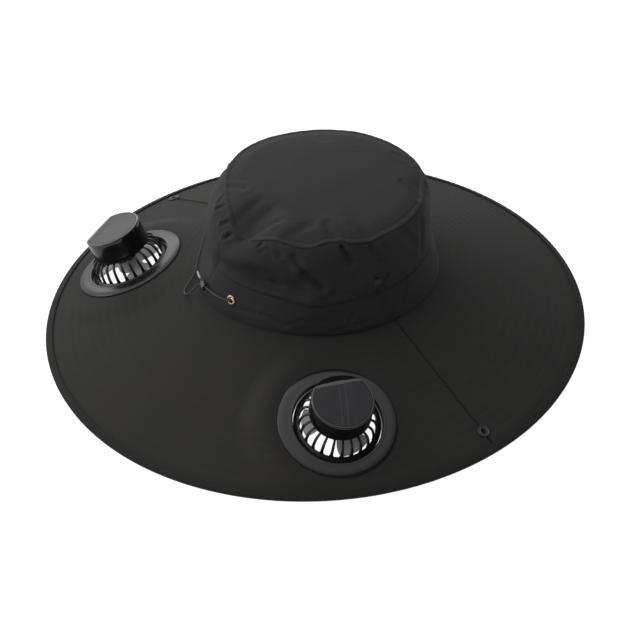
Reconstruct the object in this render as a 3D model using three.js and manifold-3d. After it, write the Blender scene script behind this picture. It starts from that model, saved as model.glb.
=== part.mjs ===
// A wide-brimmed cloth sun hat with two solar fans let into the front of its brim.
// Millimetres. +Z is up, the brim's edge rests on the plane Z = 0, -Y is the fans' side of the hat,
// and the two straight seams of the brim lie along the X axis. Angles are in degrees, counted from +X
// towards +Y. A value called a share is a part of the size that its comment names.
import * as THREE from "three";
import { mergeVertices } from "three/addons/utils/BufferGeometryUtils.js";
import Module from "manifold-3d";

const wasm = await Module();
wasm.setup();

// Clearance between pieces that touch
const GAP = 0.3;

// Brim: an oval cone of stiffened cloth, longest a little past the Y axis as the cloth lies
const BRIM_LONG = 455;
const BRIM_SHORT = 435;
const BRIM_LONG_ANGLE = 105;
const BRIM_CLOTH = 2;
const BRIM_RISE = 51.5;

// Binding tape folded round the brim's edge, and how deep the table presses it flat
const TAPE = 0.9;
const TAPE_WIDTH = 5.5;
const TAPE_FLAT = 0.6;

// Crown: the outer radius at its base seam, its height over the brim, and its wall
const CROWN_RADIUS = 96.5;
const CROWN_HEIGHT = 77;
const CROWN_CLOTH = 1.5;
const CROWN_DOME = 5;
const CROWN_LEAN_X = 3.7;
const CROWN_LEAN_Y = 3.0;
const BAND_HEIGHT = 29;

// Drawcord, the bead that locks it, and the two eyelets that it leaves the band by
const CORD_DIAMETER = 1.2;
const BEAD_RADIUS = 2.9;
const BEAD_BORE = 2.05;
const BEAD_LENGTH = 7;
const BEAD_END = 0.8;
const EYELET_RADIUS = 4.1;
const EYELET_BORE = 2.2;
const EYELET_METAL = 0.5;
const EYELET_HEIGHT = 14.2;

// Press studs on the brim's seams and on the crown above them
const STUD_RADIUS = 5;
const STUD_HOLE = 1.9;
const STUD_HEIGHT = 1.8;
const STUD_ROUND = 0.8;
const STUD_INSET = 16;
const STUD_ANGLES = { right: 0, left: 180 };
const CROWN_STUD_RADIUS = 3.6;
const CROWN_STUD_HEIGHT = 1.4;
const CROWN_STUD_UP = 11;
const CROWN_STUD_ANGLES = { right: -10, left: 180 };

// Fans, in a frame of their own: z = 0 is the brim's upper face and +z the fan's axis. A fan fills a
// fixed share of the brim's narrowest side, and its widths and heights are shares of its own radius
const FAN_RADIUS = (BRIM_SHORT / 2 - CROWN_RADIUS) * 0.376;
const FAN_OPENING = FAN_RADIUS * 0.745;
const COLLAR_WALL = 1.6;
const COLLAR_DEPTH = FAN_RADIUS * 0.132;
const FLANGE_EDGE = 1.4;
const FLANGE_LIP = 3.2;
const GRILLE_HEIGHT = FAN_RADIUS * 0.37;
const GRILLE_WALL = 1.6;
const GRILLE_SHELF = FAN_RADIUS * 0.66;
const GRILLE_SEAT = FAN_RADIUS * 0.418;
const GRILLE_FOOT = 1;
const GRILLE_RIM = 2;
const RIB_COUNT = 24;
const RIB_SHARE = 0.3;
const DRUM_RADIUS = FAN_RADIUS * 0.519;
const DRUM_HEIGHT = FAN_RADIUS * 0.422;
const DRUM_EDGE = 1.2;
const FACET_OFFSET = FAN_RADIUS * 0.325;
const FACET_TILT = 27;
const CELL_MARGIN = 2;
const CELL_THICKNESS = 0.8;
const MOTOR_RADIUS = FAN_RADIUS * 0.242;
const MOTOR_DROP = 8;
const SHAFT_RADIUS = 1.5;
const SHAFT_REACH = 6;
const ROTOR_RADIUS = FAN_RADIUS * 0.6;
const ROTOR_HUB = FAN_RADIUS * 0.231;
const ROTOR_HEIGHT = FAN_RADIUS * 0.242;
const ROTOR_CLEAR = 1;
const BLADE_DROP = ROTOR_HEIGHT * 0.227;
const BLADE_COUNT = 3;
const BLADE_SPAN = 62;
const BLADE_WALL = 1.2;
const BLADE_PITCH = { root: ROTOR_HEIGHT * 0.627, tip: ROTOR_HEIGHT * 0.427 };
const CLAMP_WALL = 1.6;
const CLAMP_RADIUS = FAN_RADIUS * 0.934;

// Where each fan sits: angle round the hat, how far its axis lies out across the brim (a share of the
// way from the crown to the edge), the way its drum's facet looks, and the angle of one blade, the last
// two counted in the fan's own frame
const FANS = [
  { side: "right", angle: -33.5, out: 0.5507, roll: -4.2, facet: 190, blade: 25 },
  { side: "left", angle: -141.4, out: 0.512, roll: 0, facet: 342, blade: 124 },
];

// Crown wall from base to top seam: up is a share of CROWN_HEIGHT, out a share of CROWN_RADIUS
const CROWN_PROFILE = [
  { up: 0.0, out: 1.0 },
  { up: 0.18, out: 0.975 },
  { up: 0.36, out: 0.952 },
  { up: 0.5, out: 0.941 },
  { up: 0.7, out: 0.92 },
  { up: 0.88, out: 0.89 },
  { up: 1.0, out: 0.852 },
];

// Swellings and dents of the crown wall: the angle and height (share of CROWN_HEIGHT) of the middle,
// how far out it stands (share of CROWN_RADIUS, negative is a dent), how wide it is in degrees, how
// tall (share of CROWN_HEIGHT), and how many degrees it leans over the crown's whole height
const FOLDS = [
  { angle: -94, up: 0.0, out: 0.035, spread: 17, reach: 0.35, lean: 0 },
  { angle: 42, up: 0.0, out: 0.035, spread: 34, reach: 0.4, lean: 0 },
  { angle: 135, up: 0.75, out: 0.012, spread: 30, reach: 0.3, lean: 0 },
  { angle: -66, up: 0.6, out: -0.05, spread: 13, reach: 0.16, lean: -20 },
  { angle: -45, up: 0.62, out: -0.028, spread: 7, reach: 0.18, lean: 25 },
  { angle: -40, up: 0.84, out: 0.02, spread: 8, reach: 0.14, lean: 0 },
  { angle: -27, up: 0.9, out: -0.045, spread: 5, reach: 0.17, lean: -30 },
  { angle: -13, up: 0.86, out: -0.028, spread: 5, reach: 0.16, lean: -15 },
  { angle: 2, up: 0.8, out: 0.014, spread: 9, reach: 0.16, lean: 0 },
  { angle: -84, up: 0.86, out: -0.035, spread: 5, reach: 0.12, lean: 35 },
  { angle: -112, up: 0.8, out: 0.012, spread: 9, reach: 0.2, lean: 0 },
  { angle: -116, up: 0.34, out: -0.02, spread: 6, reach: 0.1, lean: 0 },
  { angle: -120, up: 0.26, out: -0.055, spread: 15, reach: 0.15, lean: 0 },
  { angle: -132, up: 0.24, out: -0.045, spread: 14, reach: 0.15, lean: 0 },
  { angle: 55, up: 0.49, out: -0.042, spread: 24, reach: 0.3, lean: 0 },
  { angle: 95, up: 0.55, out: -0.02, spread: 10, reach: 0.25, lean: 20 },
  { angle: 170, up: 0.6, out: -0.022, spread: 9, reach: 0.22, lean: -20 },
  { angle: 205, up: 0.82, out: -0.018, spread: 7, reach: 0.15, lean: 10 },
];

// Dips of the crown's top seam (down is a share of CROWN_HEIGHT) and of the band's upper seam (a share
// of BAND_HEIGHT), each with its width in degrees
const TOP_DIPS = [
  { angle: -86, down: 0.15, spread: 13 },
  { angle: -50, down: 0.03, spread: 9 },
  { angle: -14, down: 0.035, spread: 6 },
  { angle: 150, down: 0.03, spread: 25 },
];
const BAND_DIPS = [
  { angle: -41, down: 0.17, spread: 13 },
  { angle: 28, down: -0.16, spread: 24 },
  { angle: -116, down: 0.1, spread: 12 },
  { angle: 160, down: 0.1, spread: 30 },
];

// Routes of the drawcord's two strands: angle round the crown, height over the brim's crown seam, and
// distance out from the band, chosen by hand
const EYELET_ANGLES = { right: -83.3, left: -147 };
const BEAD_PLACE = { angle: -102.5, up: 10, out: 3.6 };
const CORD_ROUTES = {
  right: [
    { angle: -83.3, up: 14.2, out: -0.4 },
    { angle: -83.4, up: 14.2, out: 1.1 },
    { angle: -84.1, up: 14.1, out: 2.3 },
    { angle: -86.2, up: 13.8, out: 2.8 },
    { angle: -89.5, up: 13.2, out: 2.9 },
    { angle: -93, up: 12.5, out: 3.0 },
    { angle: -96.5, up: 11.8, out: 3.2 },
    { angle: -99.5, up: 11.2, out: 3.5 },
    { angle: -102.5, up: 10.7, out: 3.6 },
    { angle: -104.7, up: 10.8, out: 3.9 },
    { angle: -107, up: 11.2, out: 4.8 },
    { angle: -109.5, up: 12, out: 6.2 },
    { angle: -112.2, up: 13.3, out: 8.0 },
  ],
  left: [
    { angle: -147, up: 14.2, out: -0.4 },
    { angle: -146.9, up: 14.2, out: 1.2 },
    { angle: -146.2, up: 14, out: 2.5 },
    { angle: -143.5, up: 13.2, out: 3.0 },
    { angle: -138.5, up: 11.6, out: 3.1 },
    { angle: -133, up: 9.4, out: 3.2 },
    { angle: -127.5, up: 6.6, out: 3.6 },
    { angle: -122.3, up: 3.2, out: 5.1 },
    { angle: -117.8, up: -0.3, out: 8.2 },
    { angle: -114.2, up: -2.4, out: 10.9 },
    { angle: -111, up: -3.6, out: 12.2 },
    { angle: -108.4, up: -2.8, out: 12.2 },
    { angle: -106.9, up: 0.2, out: 10.2 },
    { angle: -106.6, up: 3.8, out: 7.6 },
    { angle: -106.4, up: 7, out: 5.4 },
    { angle: -105.2, up: 8.9, out: 4.2 },
    { angle: -104, up: 9.3, out: 3.7 },
    { angle: -102.5, up: 9.3, out: 3.6 },
    { angle: -101, up: 9.3, out: 3.6 },
  ],
};

// How finely the curved pieces are divided: the crown's folded side and the brim under the fans have
// narrower columns than the plain side opposite
const FOLDED_SIDE = { from: -154, to: 20, columns: 32 };
const PLAIN_COLUMNS = 17;
const CROWN_SIDE_ROWS = 5;
const CROWN_BAND_ROWS = 2;
const CROWN_TOP_RINGS = [0, 0.6, 0.9, 1];
const BRIM_FRONT_COLUMNS = 38;
const BRIM_FRONT_ROWS = [0, 0.2, 0.38, 0.56, 0.74, 0.9, 0.955, 1];
const BRIM_BACK_ROWS = [0, 0.35, 0.7, 1];
const BRIM_BACK_COLUMNS = 20;
const ROUND_SIDES = 28;
const SMALL_SIDES = 12;
const BLADE_COLUMNS = 5;
const BLADE_ROWS = 2;
const CORD_SIDES = 8;
const CORD_STEPS = 18;
const CELL_STEPS = 20;

const radians = THREE.MathUtils.degToRad;
const mix = THREE.MathUtils.lerp;

// Solids from grids and from the library's own shapes

// A geometry with shared corners merged and no flat triangles left, turned to face outwards.
function closed(geometry) {
  const bare = new THREE.BufferGeometry();
  bare.setAttribute("position", geometry.getAttribute("position").clone());
  bare.setIndex(geometry.index);
  const merged = mergeVertices(bare, 1e-3);
  const corners = [...merged.index.array];
  const kept = [];
  for (let i = 0; i < corners.length; i += 3) {
    const [a, b, c] = corners.slice(i, i + 3);
    if (a !== b && b !== c && c !== a) kept.push(a, b, c);
  }
  const place = merged.getAttribute("position");
  const point = (i) => new THREE.Vector3().fromBufferAttribute(place, i);
  let volume = 0;
  for (let i = 0; i < kept.length; i += 3) {
    volume += point(kept[i]).dot(point(kept[i + 1]).cross(point(kept[i + 2])));
  }
  if (volume < 0) {
    for (let i = 0; i < kept.length; i += 3) {
      [kept[i + 1], kept[i + 2]] = [kept[i + 2], kept[i + 1]];
    }
  }
  merged.setIndex(kept);
  return merged;
}

function solidOf(geometry) {
  const shape = closed(geometry);
  return new wasm.Manifold(
    new wasm.Mesh({
      numProp: 3,
      vertProperties: new Float32Array(shape.getAttribute("position").array),
      triVerts: new Uint32Array(shape.index.array),
    }),
  );
}

function geometryOf(solid) {
  const mesh = solid.getMesh();
  const geometry = new THREE.BufferGeometry();
  geometry.setAttribute("position", new THREE.BufferAttribute(mesh.vertProperties, 3));
  geometry.setIndex(new THREE.BufferAttribute(mesh.triVerts, 1));
  return geometry;
}

// A wall between two skins over a grid of cells: point(i, j, skin) gives the corners, skin 0 is the
// outer one and 1 the inner, around says that the columns close into a ring, and filled(i, j) says
// which cells hold material. Every open side of a cell gets a wall of its own.
function gridWall({ columns, rows, around, point, filled = () => true }) {
  const wide = around ? columns : columns + 1;
  const places = [];
  for (const skin of [0, 1]) {
    for (let i = 0; i < wide; i += 1) {
      for (let j = 0; j <= rows; j += 1) places.push(...point(i, j, skin).toArray());
    }
  }
  const corner = (i, j, skin) => (skin * wide + (i % wide)) * (rows + 1) + j;
  const has = (i, j) => {
    if (j < 0 || j >= rows) return false;
    if (!around && (i < 0 || i >= columns)) return false;
    return filled((i + columns) % columns, j);
  };
  const faces = [];
  const quad = (a, b, c, d) => faces.push(a, b, c, a, c, d);
  for (let i = 0; i < columns; i += 1) {
    for (let j = 0; j < rows; j += 1) {
      if (!has(i, j)) continue;
      const [a, b, c, d] = [[i, j], [i + 1, j], [i + 1, j + 1], [i, j + 1]];
      quad(corner(...a, 0), corner(...b, 0), corner(...c, 0), corner(...d, 0));
      quad(corner(...a, 1), corner(...d, 1), corner(...c, 1), corner(...b, 1));
      const sides = [[a, b, i, j - 1], [b, c, i + 1, j], [c, d, i, j + 1], [d, a, i - 1, j]];
      for (const [p, q, ni, nj] of sides) {
        if (has(ni, nj)) continue;
        quad(corner(...q, 0), corner(...p, 0), corner(...p, 1), corner(...q, 1));
      }
    }
  }
  const geometry = new THREE.BufferGeometry();
  geometry.setAttribute("position", new THREE.Float32BufferAttribute(places, 3));
  geometry.setIndex(faces);
  return closed(geometry);
}

// A ring or disc turned about the z axis from [radius, height] pairs
function turned(profile, sides = ROUND_SIDES) {
  const points = profile.map(([radius, height]) => new THREE.Vector2(radius, height));
  const onAxis = profile[0][0] === 0 && profile[profile.length - 1][0] === 0;
  if (!onAxis) points.push(points[0].clone());
  const geometry = new THREE.LatheGeometry(points, sides);
  return closed(geometry.rotateX(Math.PI / 2));
}

// A tube of the given radius along a smooth curve through points
function tube(points, radius, sides, steps) {
  const section = new THREE.Shape();
  for (let k = 0; k < sides; k += 1) {
    const turn = (2 * Math.PI * k) / sides;
    const [x, y] = [radius * Math.cos(turn), radius * Math.sin(turn)];
    if (k === 0) section.moveTo(x, y);
    else section.lineTo(x, y);
  }
  const extrudePath = new THREE.CatmullRomCurve3(points);
  return closed(new THREE.ExtrudeGeometry(section, { steps, extrudePath, bevelEnabled: false }));
}

// Angles of the crown's columns, and of the brim's, whose two halves meet at 0 and 180
function steps(from, to, count) {
  return Array.from({ length: count }, (_, k) => from + ((to - from) * k) / count);
}
const { from: foldedFrom, to: foldedTo } = FOLDED_SIDE;
const CROWN_ANGLES = [
  ...steps(foldedFrom, foldedTo, FOLDED_SIDE.columns),
  ...steps(foldedTo, foldedFrom + 360, PLAIN_COLUMNS),
];
const BRIM_ANGLES = [...steps(-180, 0, BRIM_FRONT_COLUMNS), ...steps(0, 180, BRIM_BACK_COLUMNS)];

// Forms of the hat: where its cloth lies

// Angle between two directions, from -180 to 180
function apart(a, b) {
  return ((((a - b) % 360) + 540) % 360) - 180;
}

function bell(distance, spread) {
  return Math.exp(-((distance / spread) ** 2));
}

// Sum of the dips of a seam at an angle
function dip(table, angle) {
  return table.reduce((sum, d) => sum + d.down * bell(apart(angle, d.angle), d.spread), 0);
}

function brimRadius(angle) {
  const turn = radians(angle - BRIM_LONG_ANGLE);
  const [long, short] = [BRIM_LONG / 2 - TAPE - GAP, BRIM_SHORT / 2 - TAPE - GAP];
  return (long * short) / Math.hypot(short * Math.cos(turn), long * Math.sin(turn));
}

const BRIM_MEAN = (BRIM_LONG + BRIM_SHORT) / 4;
const BRIM_SLOPE = Math.atan2(BRIM_RISE, BRIM_MEAN - CROWN_RADIUS);
const BRIM_EDGE_Z =
  (TAPE + GAP) * Math.sin(BRIM_SLOPE) + (TAPE + GAP + BRIM_CLOTH) * Math.cos(BRIM_SLOPE) - TAPE_FLAT;
const CROWN_BASE_Z = BRIM_EDGE_Z + BRIM_RISE;

// Height of the brim's upper face on the bare cone, from the crown's base seam out to the edge
function coneHeight(x, y) {
  const angle = THREE.MathUtils.radToDeg(Math.atan2(y, x));
  const share = (Math.hypot(x, y) - CROWN_RADIUS) / (brimRadius(angle) - CROWN_RADIUS);
  return mix(CROWN_BASE_Z, BRIM_EDGE_Z, share);
}

// Each fan's frame: its origin lies on the brim's upper face, x points outwards down the slope and z
// along the fan's axis, which the cloth lets lean sideways by the fan's roll
function fanMatrix(fan) {
  const turn = radians(fan.angle);
  const out = mix(CROWN_RADIUS, brimRadius(fan.angle), fan.out);
  const [x, y] = [out * Math.cos(turn), out * Math.sin(turn)];
  const matrix = new THREE.Matrix4().makeRotationZ(turn);
  matrix.multiply(new THREE.Matrix4().makeRotationY(BRIM_SLOPE));
  matrix.multiply(new THREE.Matrix4().makeRotationX(radians(fan.roll)));
  return matrix.setPosition(x, y, coneHeight(x, y));
}

// The brim's upper face: the cone, drawn flat under each fan and easing back to the cone beyond it
const FLAT_REACH = 5;
const EASE_REACH = 26;
const STIFF_EDGE = 0.935;
function brimHeight(x, y) {
  let height = coneHeight(x, y);
  for (const fan of FANS) {
    const matrix = fanMatrix(fan);
    const origin = new THREE.Vector3().setFromMatrixPosition(matrix);
    const axis = new THREE.Vector3().setFromMatrixColumn(matrix, 2);
    const offset = new THREE.Vector3(x, y, height).sub(origin);
    const flat = origin.z - (axis.x * offset.x + axis.y * offset.y) / axis.z;
    const reach = Math.hypot(offset.x, offset.y, flat - origin.z) - FAN_RADIUS - FLAT_REACH;
    const edge = Math.hypot(x, y) / brimRadius(THREE.MathUtils.radToDeg(Math.atan2(y, x)));
    const ease = 1 - THREE.MathUtils.smoothstep(reach, 0, EASE_REACH);
    height = mix(height, flat, ease * (1 - THREE.MathUtils.smoothstep(edge, STIFF_EDGE, 1)));
  }
  return height;
}

// A point in or above the brim at an angle and a distance from the middle, lifted off the upper face
function brimPoint(angle, radius, lift) {
  const turn = radians(angle);
  const [x, y] = [radius * Math.cos(turn), radius * Math.sin(turn)];
  const [out, up] = [Math.sin(BRIM_SLOPE), Math.cos(BRIM_SLOPE)];
  const normal = new THREE.Vector3(out * Math.cos(turn), out * Math.sin(turn), up);
  return new THREE.Vector3(x, y, brimHeight(x, y)).addScaledVector(normal, lift);
}

// The crown's outer radius, as a share of CROWN_RADIUS, at a height that is a share of CROWN_HEIGHT
function profileOut(up) {
  const next = CROWN_PROFILE.findIndex((row) => row.up >= Math.min(up, 1));
  if (next <= 0) return CROWN_PROFILE[0].out;
  const [low, high] = [CROWN_PROFILE[next - 1], CROWN_PROFILE[next]];
  return mix(low.out, high.out, (Math.min(up, 1) - low.up) / (high.up - low.up));
}

function foldOut(angle, up) {
  const each = (fold) => {
    const middle = fold.angle + fold.lean * (up - fold.up);
    return fold.out * bell(apart(angle, middle), fold.spread) * bell(up - fold.up, fold.reach);
  };
  return FOLDS.reduce((sum, fold) => sum + each(fold), 0);
}

// A point on the crown: up is a share of CROWN_HEIGHT, out stands off the outer face
function crownPoint(angle, up, out) {
  const turn = radians(angle);
  const radius = CROWN_RADIUS * (profileOut(up) + foldOut(angle, up)) + out;
  const height = CROWN_BASE_Z + CROWN_HEIGHT * up;
  return new THREE.Vector3(
    CROWN_LEAN_X * up + radius * Math.cos(turn),
    CROWN_LEAN_Y * up + radius * Math.sin(turn),
    height,
  );
}

function topSeam(angle) {
  return 1 - dip(TOP_DIPS, angle);
}

function bandSeam(angle) {
  return (BAND_HEIGHT / CROWN_HEIGHT) * (1 - dip(BAND_DIPS, angle));
}

// Cloth pieces

// The crown's lid: a shallow dome that follows the top seam from half way out
const SAG_FROM = 0.5;
function crownTop() {
  return gridWall({
    columns: CROWN_ANGLES.length,
    rows: CROWN_TOP_RINGS.length - 1,
    around: true,
    point: (i, j, skin) => {
      const angle = CROWN_ANGLES[i];
      const share = CROWN_TOP_RINGS[j];
      const edge = crownPoint(angle, topSeam(angle), 0);
      const middle = new THREE.Vector3(CROWN_LEAN_X, CROWN_LEAN_Y, CROWN_BASE_Z + CROWN_HEIGHT);
      const point = new THREE.Vector3().lerpVectors(middle, edge, share);
      const follow = THREE.MathUtils.smoothstep(share, SAG_FROM, 1);
      const rise = CROWN_DOME * (1 - share ** 2) + (skin === 0 ? CROWN_CLOTH : 0) + GAP;
      point.z = mix(middle.z, edge.z, follow) + rise;
      return point;
    },
  });
}

// A ring of the crown's wall between two seams, each a function of the angle
function crownWall(low, high, rows, bulge) {
  return gridWall({
    columns: CROWN_ANGLES.length,
    rows,
    around: true,
    point: (i, j, skin) => {
      const angle = CROWN_ANGLES[i];
      const up = mix(low(angle), high(angle), j / rows);
      return crownPoint(angle, up, bulge(angle, up) - skin * CROWN_CLOTH);
    },
  });
}

// The upper wall blouses out a little over the band that it is sewn to
const BLOUSE = 1.2;
const BLOUSE_REACH = 0.2;
function blouse(angle, up) {
  return BLOUSE * bell(up - bandSeam(angle) - BLOUSE_REACH / 2, BLOUSE_REACH);
}

function crownSide() {
  const lift = GAP / CROWN_HEIGHT;
  return crownWall((angle) => bandSeam(angle) + lift, topSeam, CROWN_SIDE_ROWS, blouse);
}

// The band follows the brim below and is pierced for the two eyelets
function crownBand() {
  const wall = gridWall({
    columns: CROWN_ANGLES.length,
    rows: CROWN_BAND_ROWS,
    around: true,
    point: (i, j, skin) => {
      const angle = CROWN_ANGLES[i];
      const out = skin === 0 ? 0 : -CROWN_CLOTH;
      const point = crownPoint(angle, (bandSeam(angle) * j) / CROWN_BAND_ROWS, out);
      if (j === 0) point.z = brimHeight(point.x, point.y) + GAP;
      return point;
    },
  });
  let solid = solidOf(wall);
  for (const angle of Object.values(EYELET_ANGLES)) {
    const radius = EYELET_BORE + EYELET_METAL + GAP;
    const reach = 4 * CROWN_CLOTH;
    const drill = turned([[0, -reach], [radius, -reach], [radius, reach], [0, reach]], SMALL_SIDES);
    solid = solid.subtract(solidOf(placed(drill, eyeletMatrix(angle))));
  }
  return geometryOf(solid);
}

// A geometry moved by a matrix
function placed(geometry, matrix) {
  return geometry.clone().applyMatrix4(matrix);
}

// Frame of a small round piece on the crown's wall, its z axis along the wall's outward normal
function wallMatrix(angle, up, lift = 0) {
  const step = 0.02;
  const point = crownPoint(angle, up, lift);
  const along = crownPoint(angle + 1, up, 0).sub(crownPoint(angle - 1, up, 0));
  const rise = crownPoint(angle, up + step, 0).sub(crownPoint(angle, up - step, 0));
  const out = along.clone().cross(rise).normalize();
  const side = along.normalize();
  const basis = new THREE.Matrix4().makeBasis(side, new THREE.Vector3().crossVectors(out, side), out);
  return basis.setPosition(point);
}

function eyeletMatrix(angle) {
  return wallMatrix(angle, EYELET_HEIGHT / CROWN_HEIGHT);
}

// One half of the brim between the two seams, with a round hole for each fan that it carries
function brimHalf(start, fans) {
  const columns = fans.length ? BRIM_FRONT_COLUMNS : BRIM_BACK_COLUMNS;
  const shares = fans.length ? BRIM_FRONT_ROWS : BRIM_BACK_ROWS;
  const wall = gridWall({
    columns,
    rows: shares.length - 1,
    around: false,
    point: (i, j, skin) => {
      const angle = start + (180 * i) / columns;
      const radius = mix(CROWN_RADIUS - CROWN_CLOTH, brimRadius(angle), shares[j]);
      const point = brimPoint(angle, radius, -skin * BRIM_CLOTH);
      if (i === 0 || i === columns) point.y = start < 0 ? -GAP / 2 : GAP / 2;
      return point;
    },
  });
  let solid = solidOf(wall);
  for (const fan of fans) {
    const radius = FAN_OPENING + COLLAR_WALL + GAP;
    const depth = FAN_RADIUS / 2;
    const drill = turned([[0, -depth], [radius, -depth], [radius, depth], [0, depth]]);
    solid = solid.subtract(solidOf(placed(drill, fanMatrix(fan))));
  }
  return geometryOf(solid);
}

// The tape, a U round the brim's edge, pressed flat where it rests on the table. Its section is in
// pairs: along the brim's fall from the edge, and up off the middle of the cloth
function brimBinding() {
  const columns = BRIM_ANGLES.length;
  const half = BRIM_CLOTH / 2;
  const inner = half + GAP;
  const outer = inner + TAPE;
  const [sin, cos] = [Math.sin(BRIM_SLOPE), Math.cos(BRIM_SLOPE)];
  const section = [
    [GAP - TAPE_WIDTH, inner],
    [GAP, inner],
    [GAP, -inner],
    [GAP - TAPE_WIDTH, -inner],
    [GAP - TAPE_WIDTH, -outer],
    [GAP + TAPE - TAPE_FLAT / sin, -outer],
    [GAP + TAPE, TAPE_FLAT / cos - outer],
    [GAP + TAPE, outer],
    [GAP - TAPE_WIDTH, outer],
  ];
  const places = [];
  const faces = [];
  const count = section.length;
  for (let i = 0; i < columns; i += 1) {
    const angle = BRIM_ANGLES[i];
    const turn = radians(angle);
    const edge = brimPoint(angle, brimRadius(angle), -half);
    const wing = brimPoint(angle, brimRadius(angle) + (GAP - TAPE_WIDTH) * cos, -half);
    for (const [along, lift] of section) {
      const onWing = along === GAP - TAPE_WIDTH;
      const from = onWing ? wing : edge;
      const past = onWing ? 0 : along;
      const out = past * cos + lift * sin;
      places.push(from.x + out * Math.cos(turn), from.y + out * Math.sin(turn));
      places.push(from.z - past * sin + lift * cos);
    }
    const [row, next] = [i * count, ((i + 1) % columns) * count];
    for (let k = 0; k < count; k += 1) {
      const other = (k + 1) % count;
      faces.push(row + k, row + other, next + other, row + k, next + other, next + k);
    }
  }
  const geometry = new THREE.BufferGeometry();
  geometry.setAttribute("position", new THREE.Float32BufferAttribute(places, 3));
  geometry.setIndex(faces);
  return closed(geometry);
}

// Small fittings

// A brass ring rolled over both faces of the band round its hole
function eyelet() {
  const barrel = EYELET_BORE + EYELET_METAL;
  const back = -CROWN_CLOTH - 2 * GAP;
  return turned(
    [
      [EYELET_BORE, back - EYELET_METAL],
      [EYELET_RADIUS - EYELET_METAL, back - EYELET_METAL],
      [EYELET_RADIUS - EYELET_METAL, back],
      [barrel, back],
      [barrel, 2 * GAP],
      [EYELET_RADIUS, 2 * GAP],
      [EYELET_RADIUS - EYELET_METAL, 2 * GAP + EYELET_METAL],
      [EYELET_BORE, 2 * GAP + EYELET_METAL],
    ],
    SMALL_SIDES,
  );
}

// A ring stud on the brim's seam, pierced through
function brimStud() {
  return turned(
    [
      [STUD_HOLE, GAP],
      [STUD_RADIUS, GAP],
      [STUD_RADIUS, STUD_HEIGHT - STUD_ROUND],
      [STUD_RADIUS - STUD_ROUND, STUD_HEIGHT],
      [STUD_HOLE + STUD_ROUND, STUD_HEIGHT],
      [STUD_HOLE, STUD_HEIGHT - STUD_ROUND],
    ],
    SMALL_SIDES,
  );
}

// The small cap on the crown that the brim's stud presses on to
function crownStud() {
  return turned(
    [
      [0, GAP],
      [CROWN_STUD_RADIUS, GAP],
      [CROWN_STUD_RADIUS, CROWN_STUD_HEIGHT - STUD_ROUND],
      [CROWN_STUD_RADIUS - STUD_ROUND, CROWN_STUD_HEIGHT],
      [0, CROWN_STUD_HEIGHT],
    ],
    SMALL_SIDES,
  );
}

// A point beside the crown's base: angle, height over the base seam and distance out from the band
function besideBand({ angle, up, out }) {
  return crownPoint(angle, up / CROWN_HEIGHT, out);
}

function drawcord(side) {
  const points = CORD_ROUTES[side].map(besideBand);
  return tube(points, CORD_DIAMETER / 2, CORD_SIDES, CORD_STEPS);
}

// The bead that both strands run through, its bore along the crown's wall
function bead() {
  return turned(
    [
      [BEAD_BORE, -BEAD_LENGTH / 2],
      [BEAD_RADIUS * BEAD_END, -BEAD_LENGTH / 2],
      [BEAD_RADIUS, -BEAD_LENGTH / 4],
      [BEAD_RADIUS, BEAD_LENGTH / 4],
      [BEAD_RADIUS * BEAD_END, BEAD_LENGTH / 2],
      [BEAD_BORE, BEAD_LENGTH / 2],
    ],
    SMALL_SIDES,
  );
}

function beadMatrix() {
  const { angle } = BEAD_PLACE;
  const point = besideBand(BEAD_PLACE);
  const along = besideBand({ ...BEAD_PLACE, angle: angle + 1 });
  along.sub(besideBand({ ...BEAD_PLACE, angle: angle - 1 })).normalize();
  const up = new THREE.Vector3(0, 0, 1);
  const out = new THREE.Vector3().crossVectors(along, up).normalize();
  const basis = new THREE.Matrix4().makeBasis(out, new THREE.Vector3().crossVectors(along, out), along);
  return basis.setPosition(point);
}

// Fan pieces, each in the fan's own frame

const COLLAR_RADIUS = FAN_OPENING + COLLAR_WALL;
const RIM_RADIUS = FAN_OPENING * Math.cos(Math.PI / ROUND_SIDES) - GAP;
const DRUM_SEAT = GRILLE_HEIGHT + GAP;
const DRUM_TOP = DRUM_SEAT + DRUM_HEIGHT;

// The flange lies on the brim, rises to a rounded lip and goes down through the brim as a collar
function fanFlange() {
  return turned([
    [COLLAR_RADIUS, -COLLAR_DEPTH],
    [COLLAR_RADIUS, GAP],
    [FAN_RADIUS, GAP],
    [FAN_RADIUS, FLANGE_EDGE],
    [FAN_RADIUS - FLANGE_EDGE / 2, FLANGE_EDGE + GAP],
    [COLLAR_RADIUS, FLANGE_LIP],
    [FAN_OPENING + COLLAR_WALL / 3, FLANGE_LIP * 0.9],
    [FAN_OPENING, FLANGE_LIP * 0.6],
    [FAN_OPENING, -COLLAR_DEPTH],
  ]);
}

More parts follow.
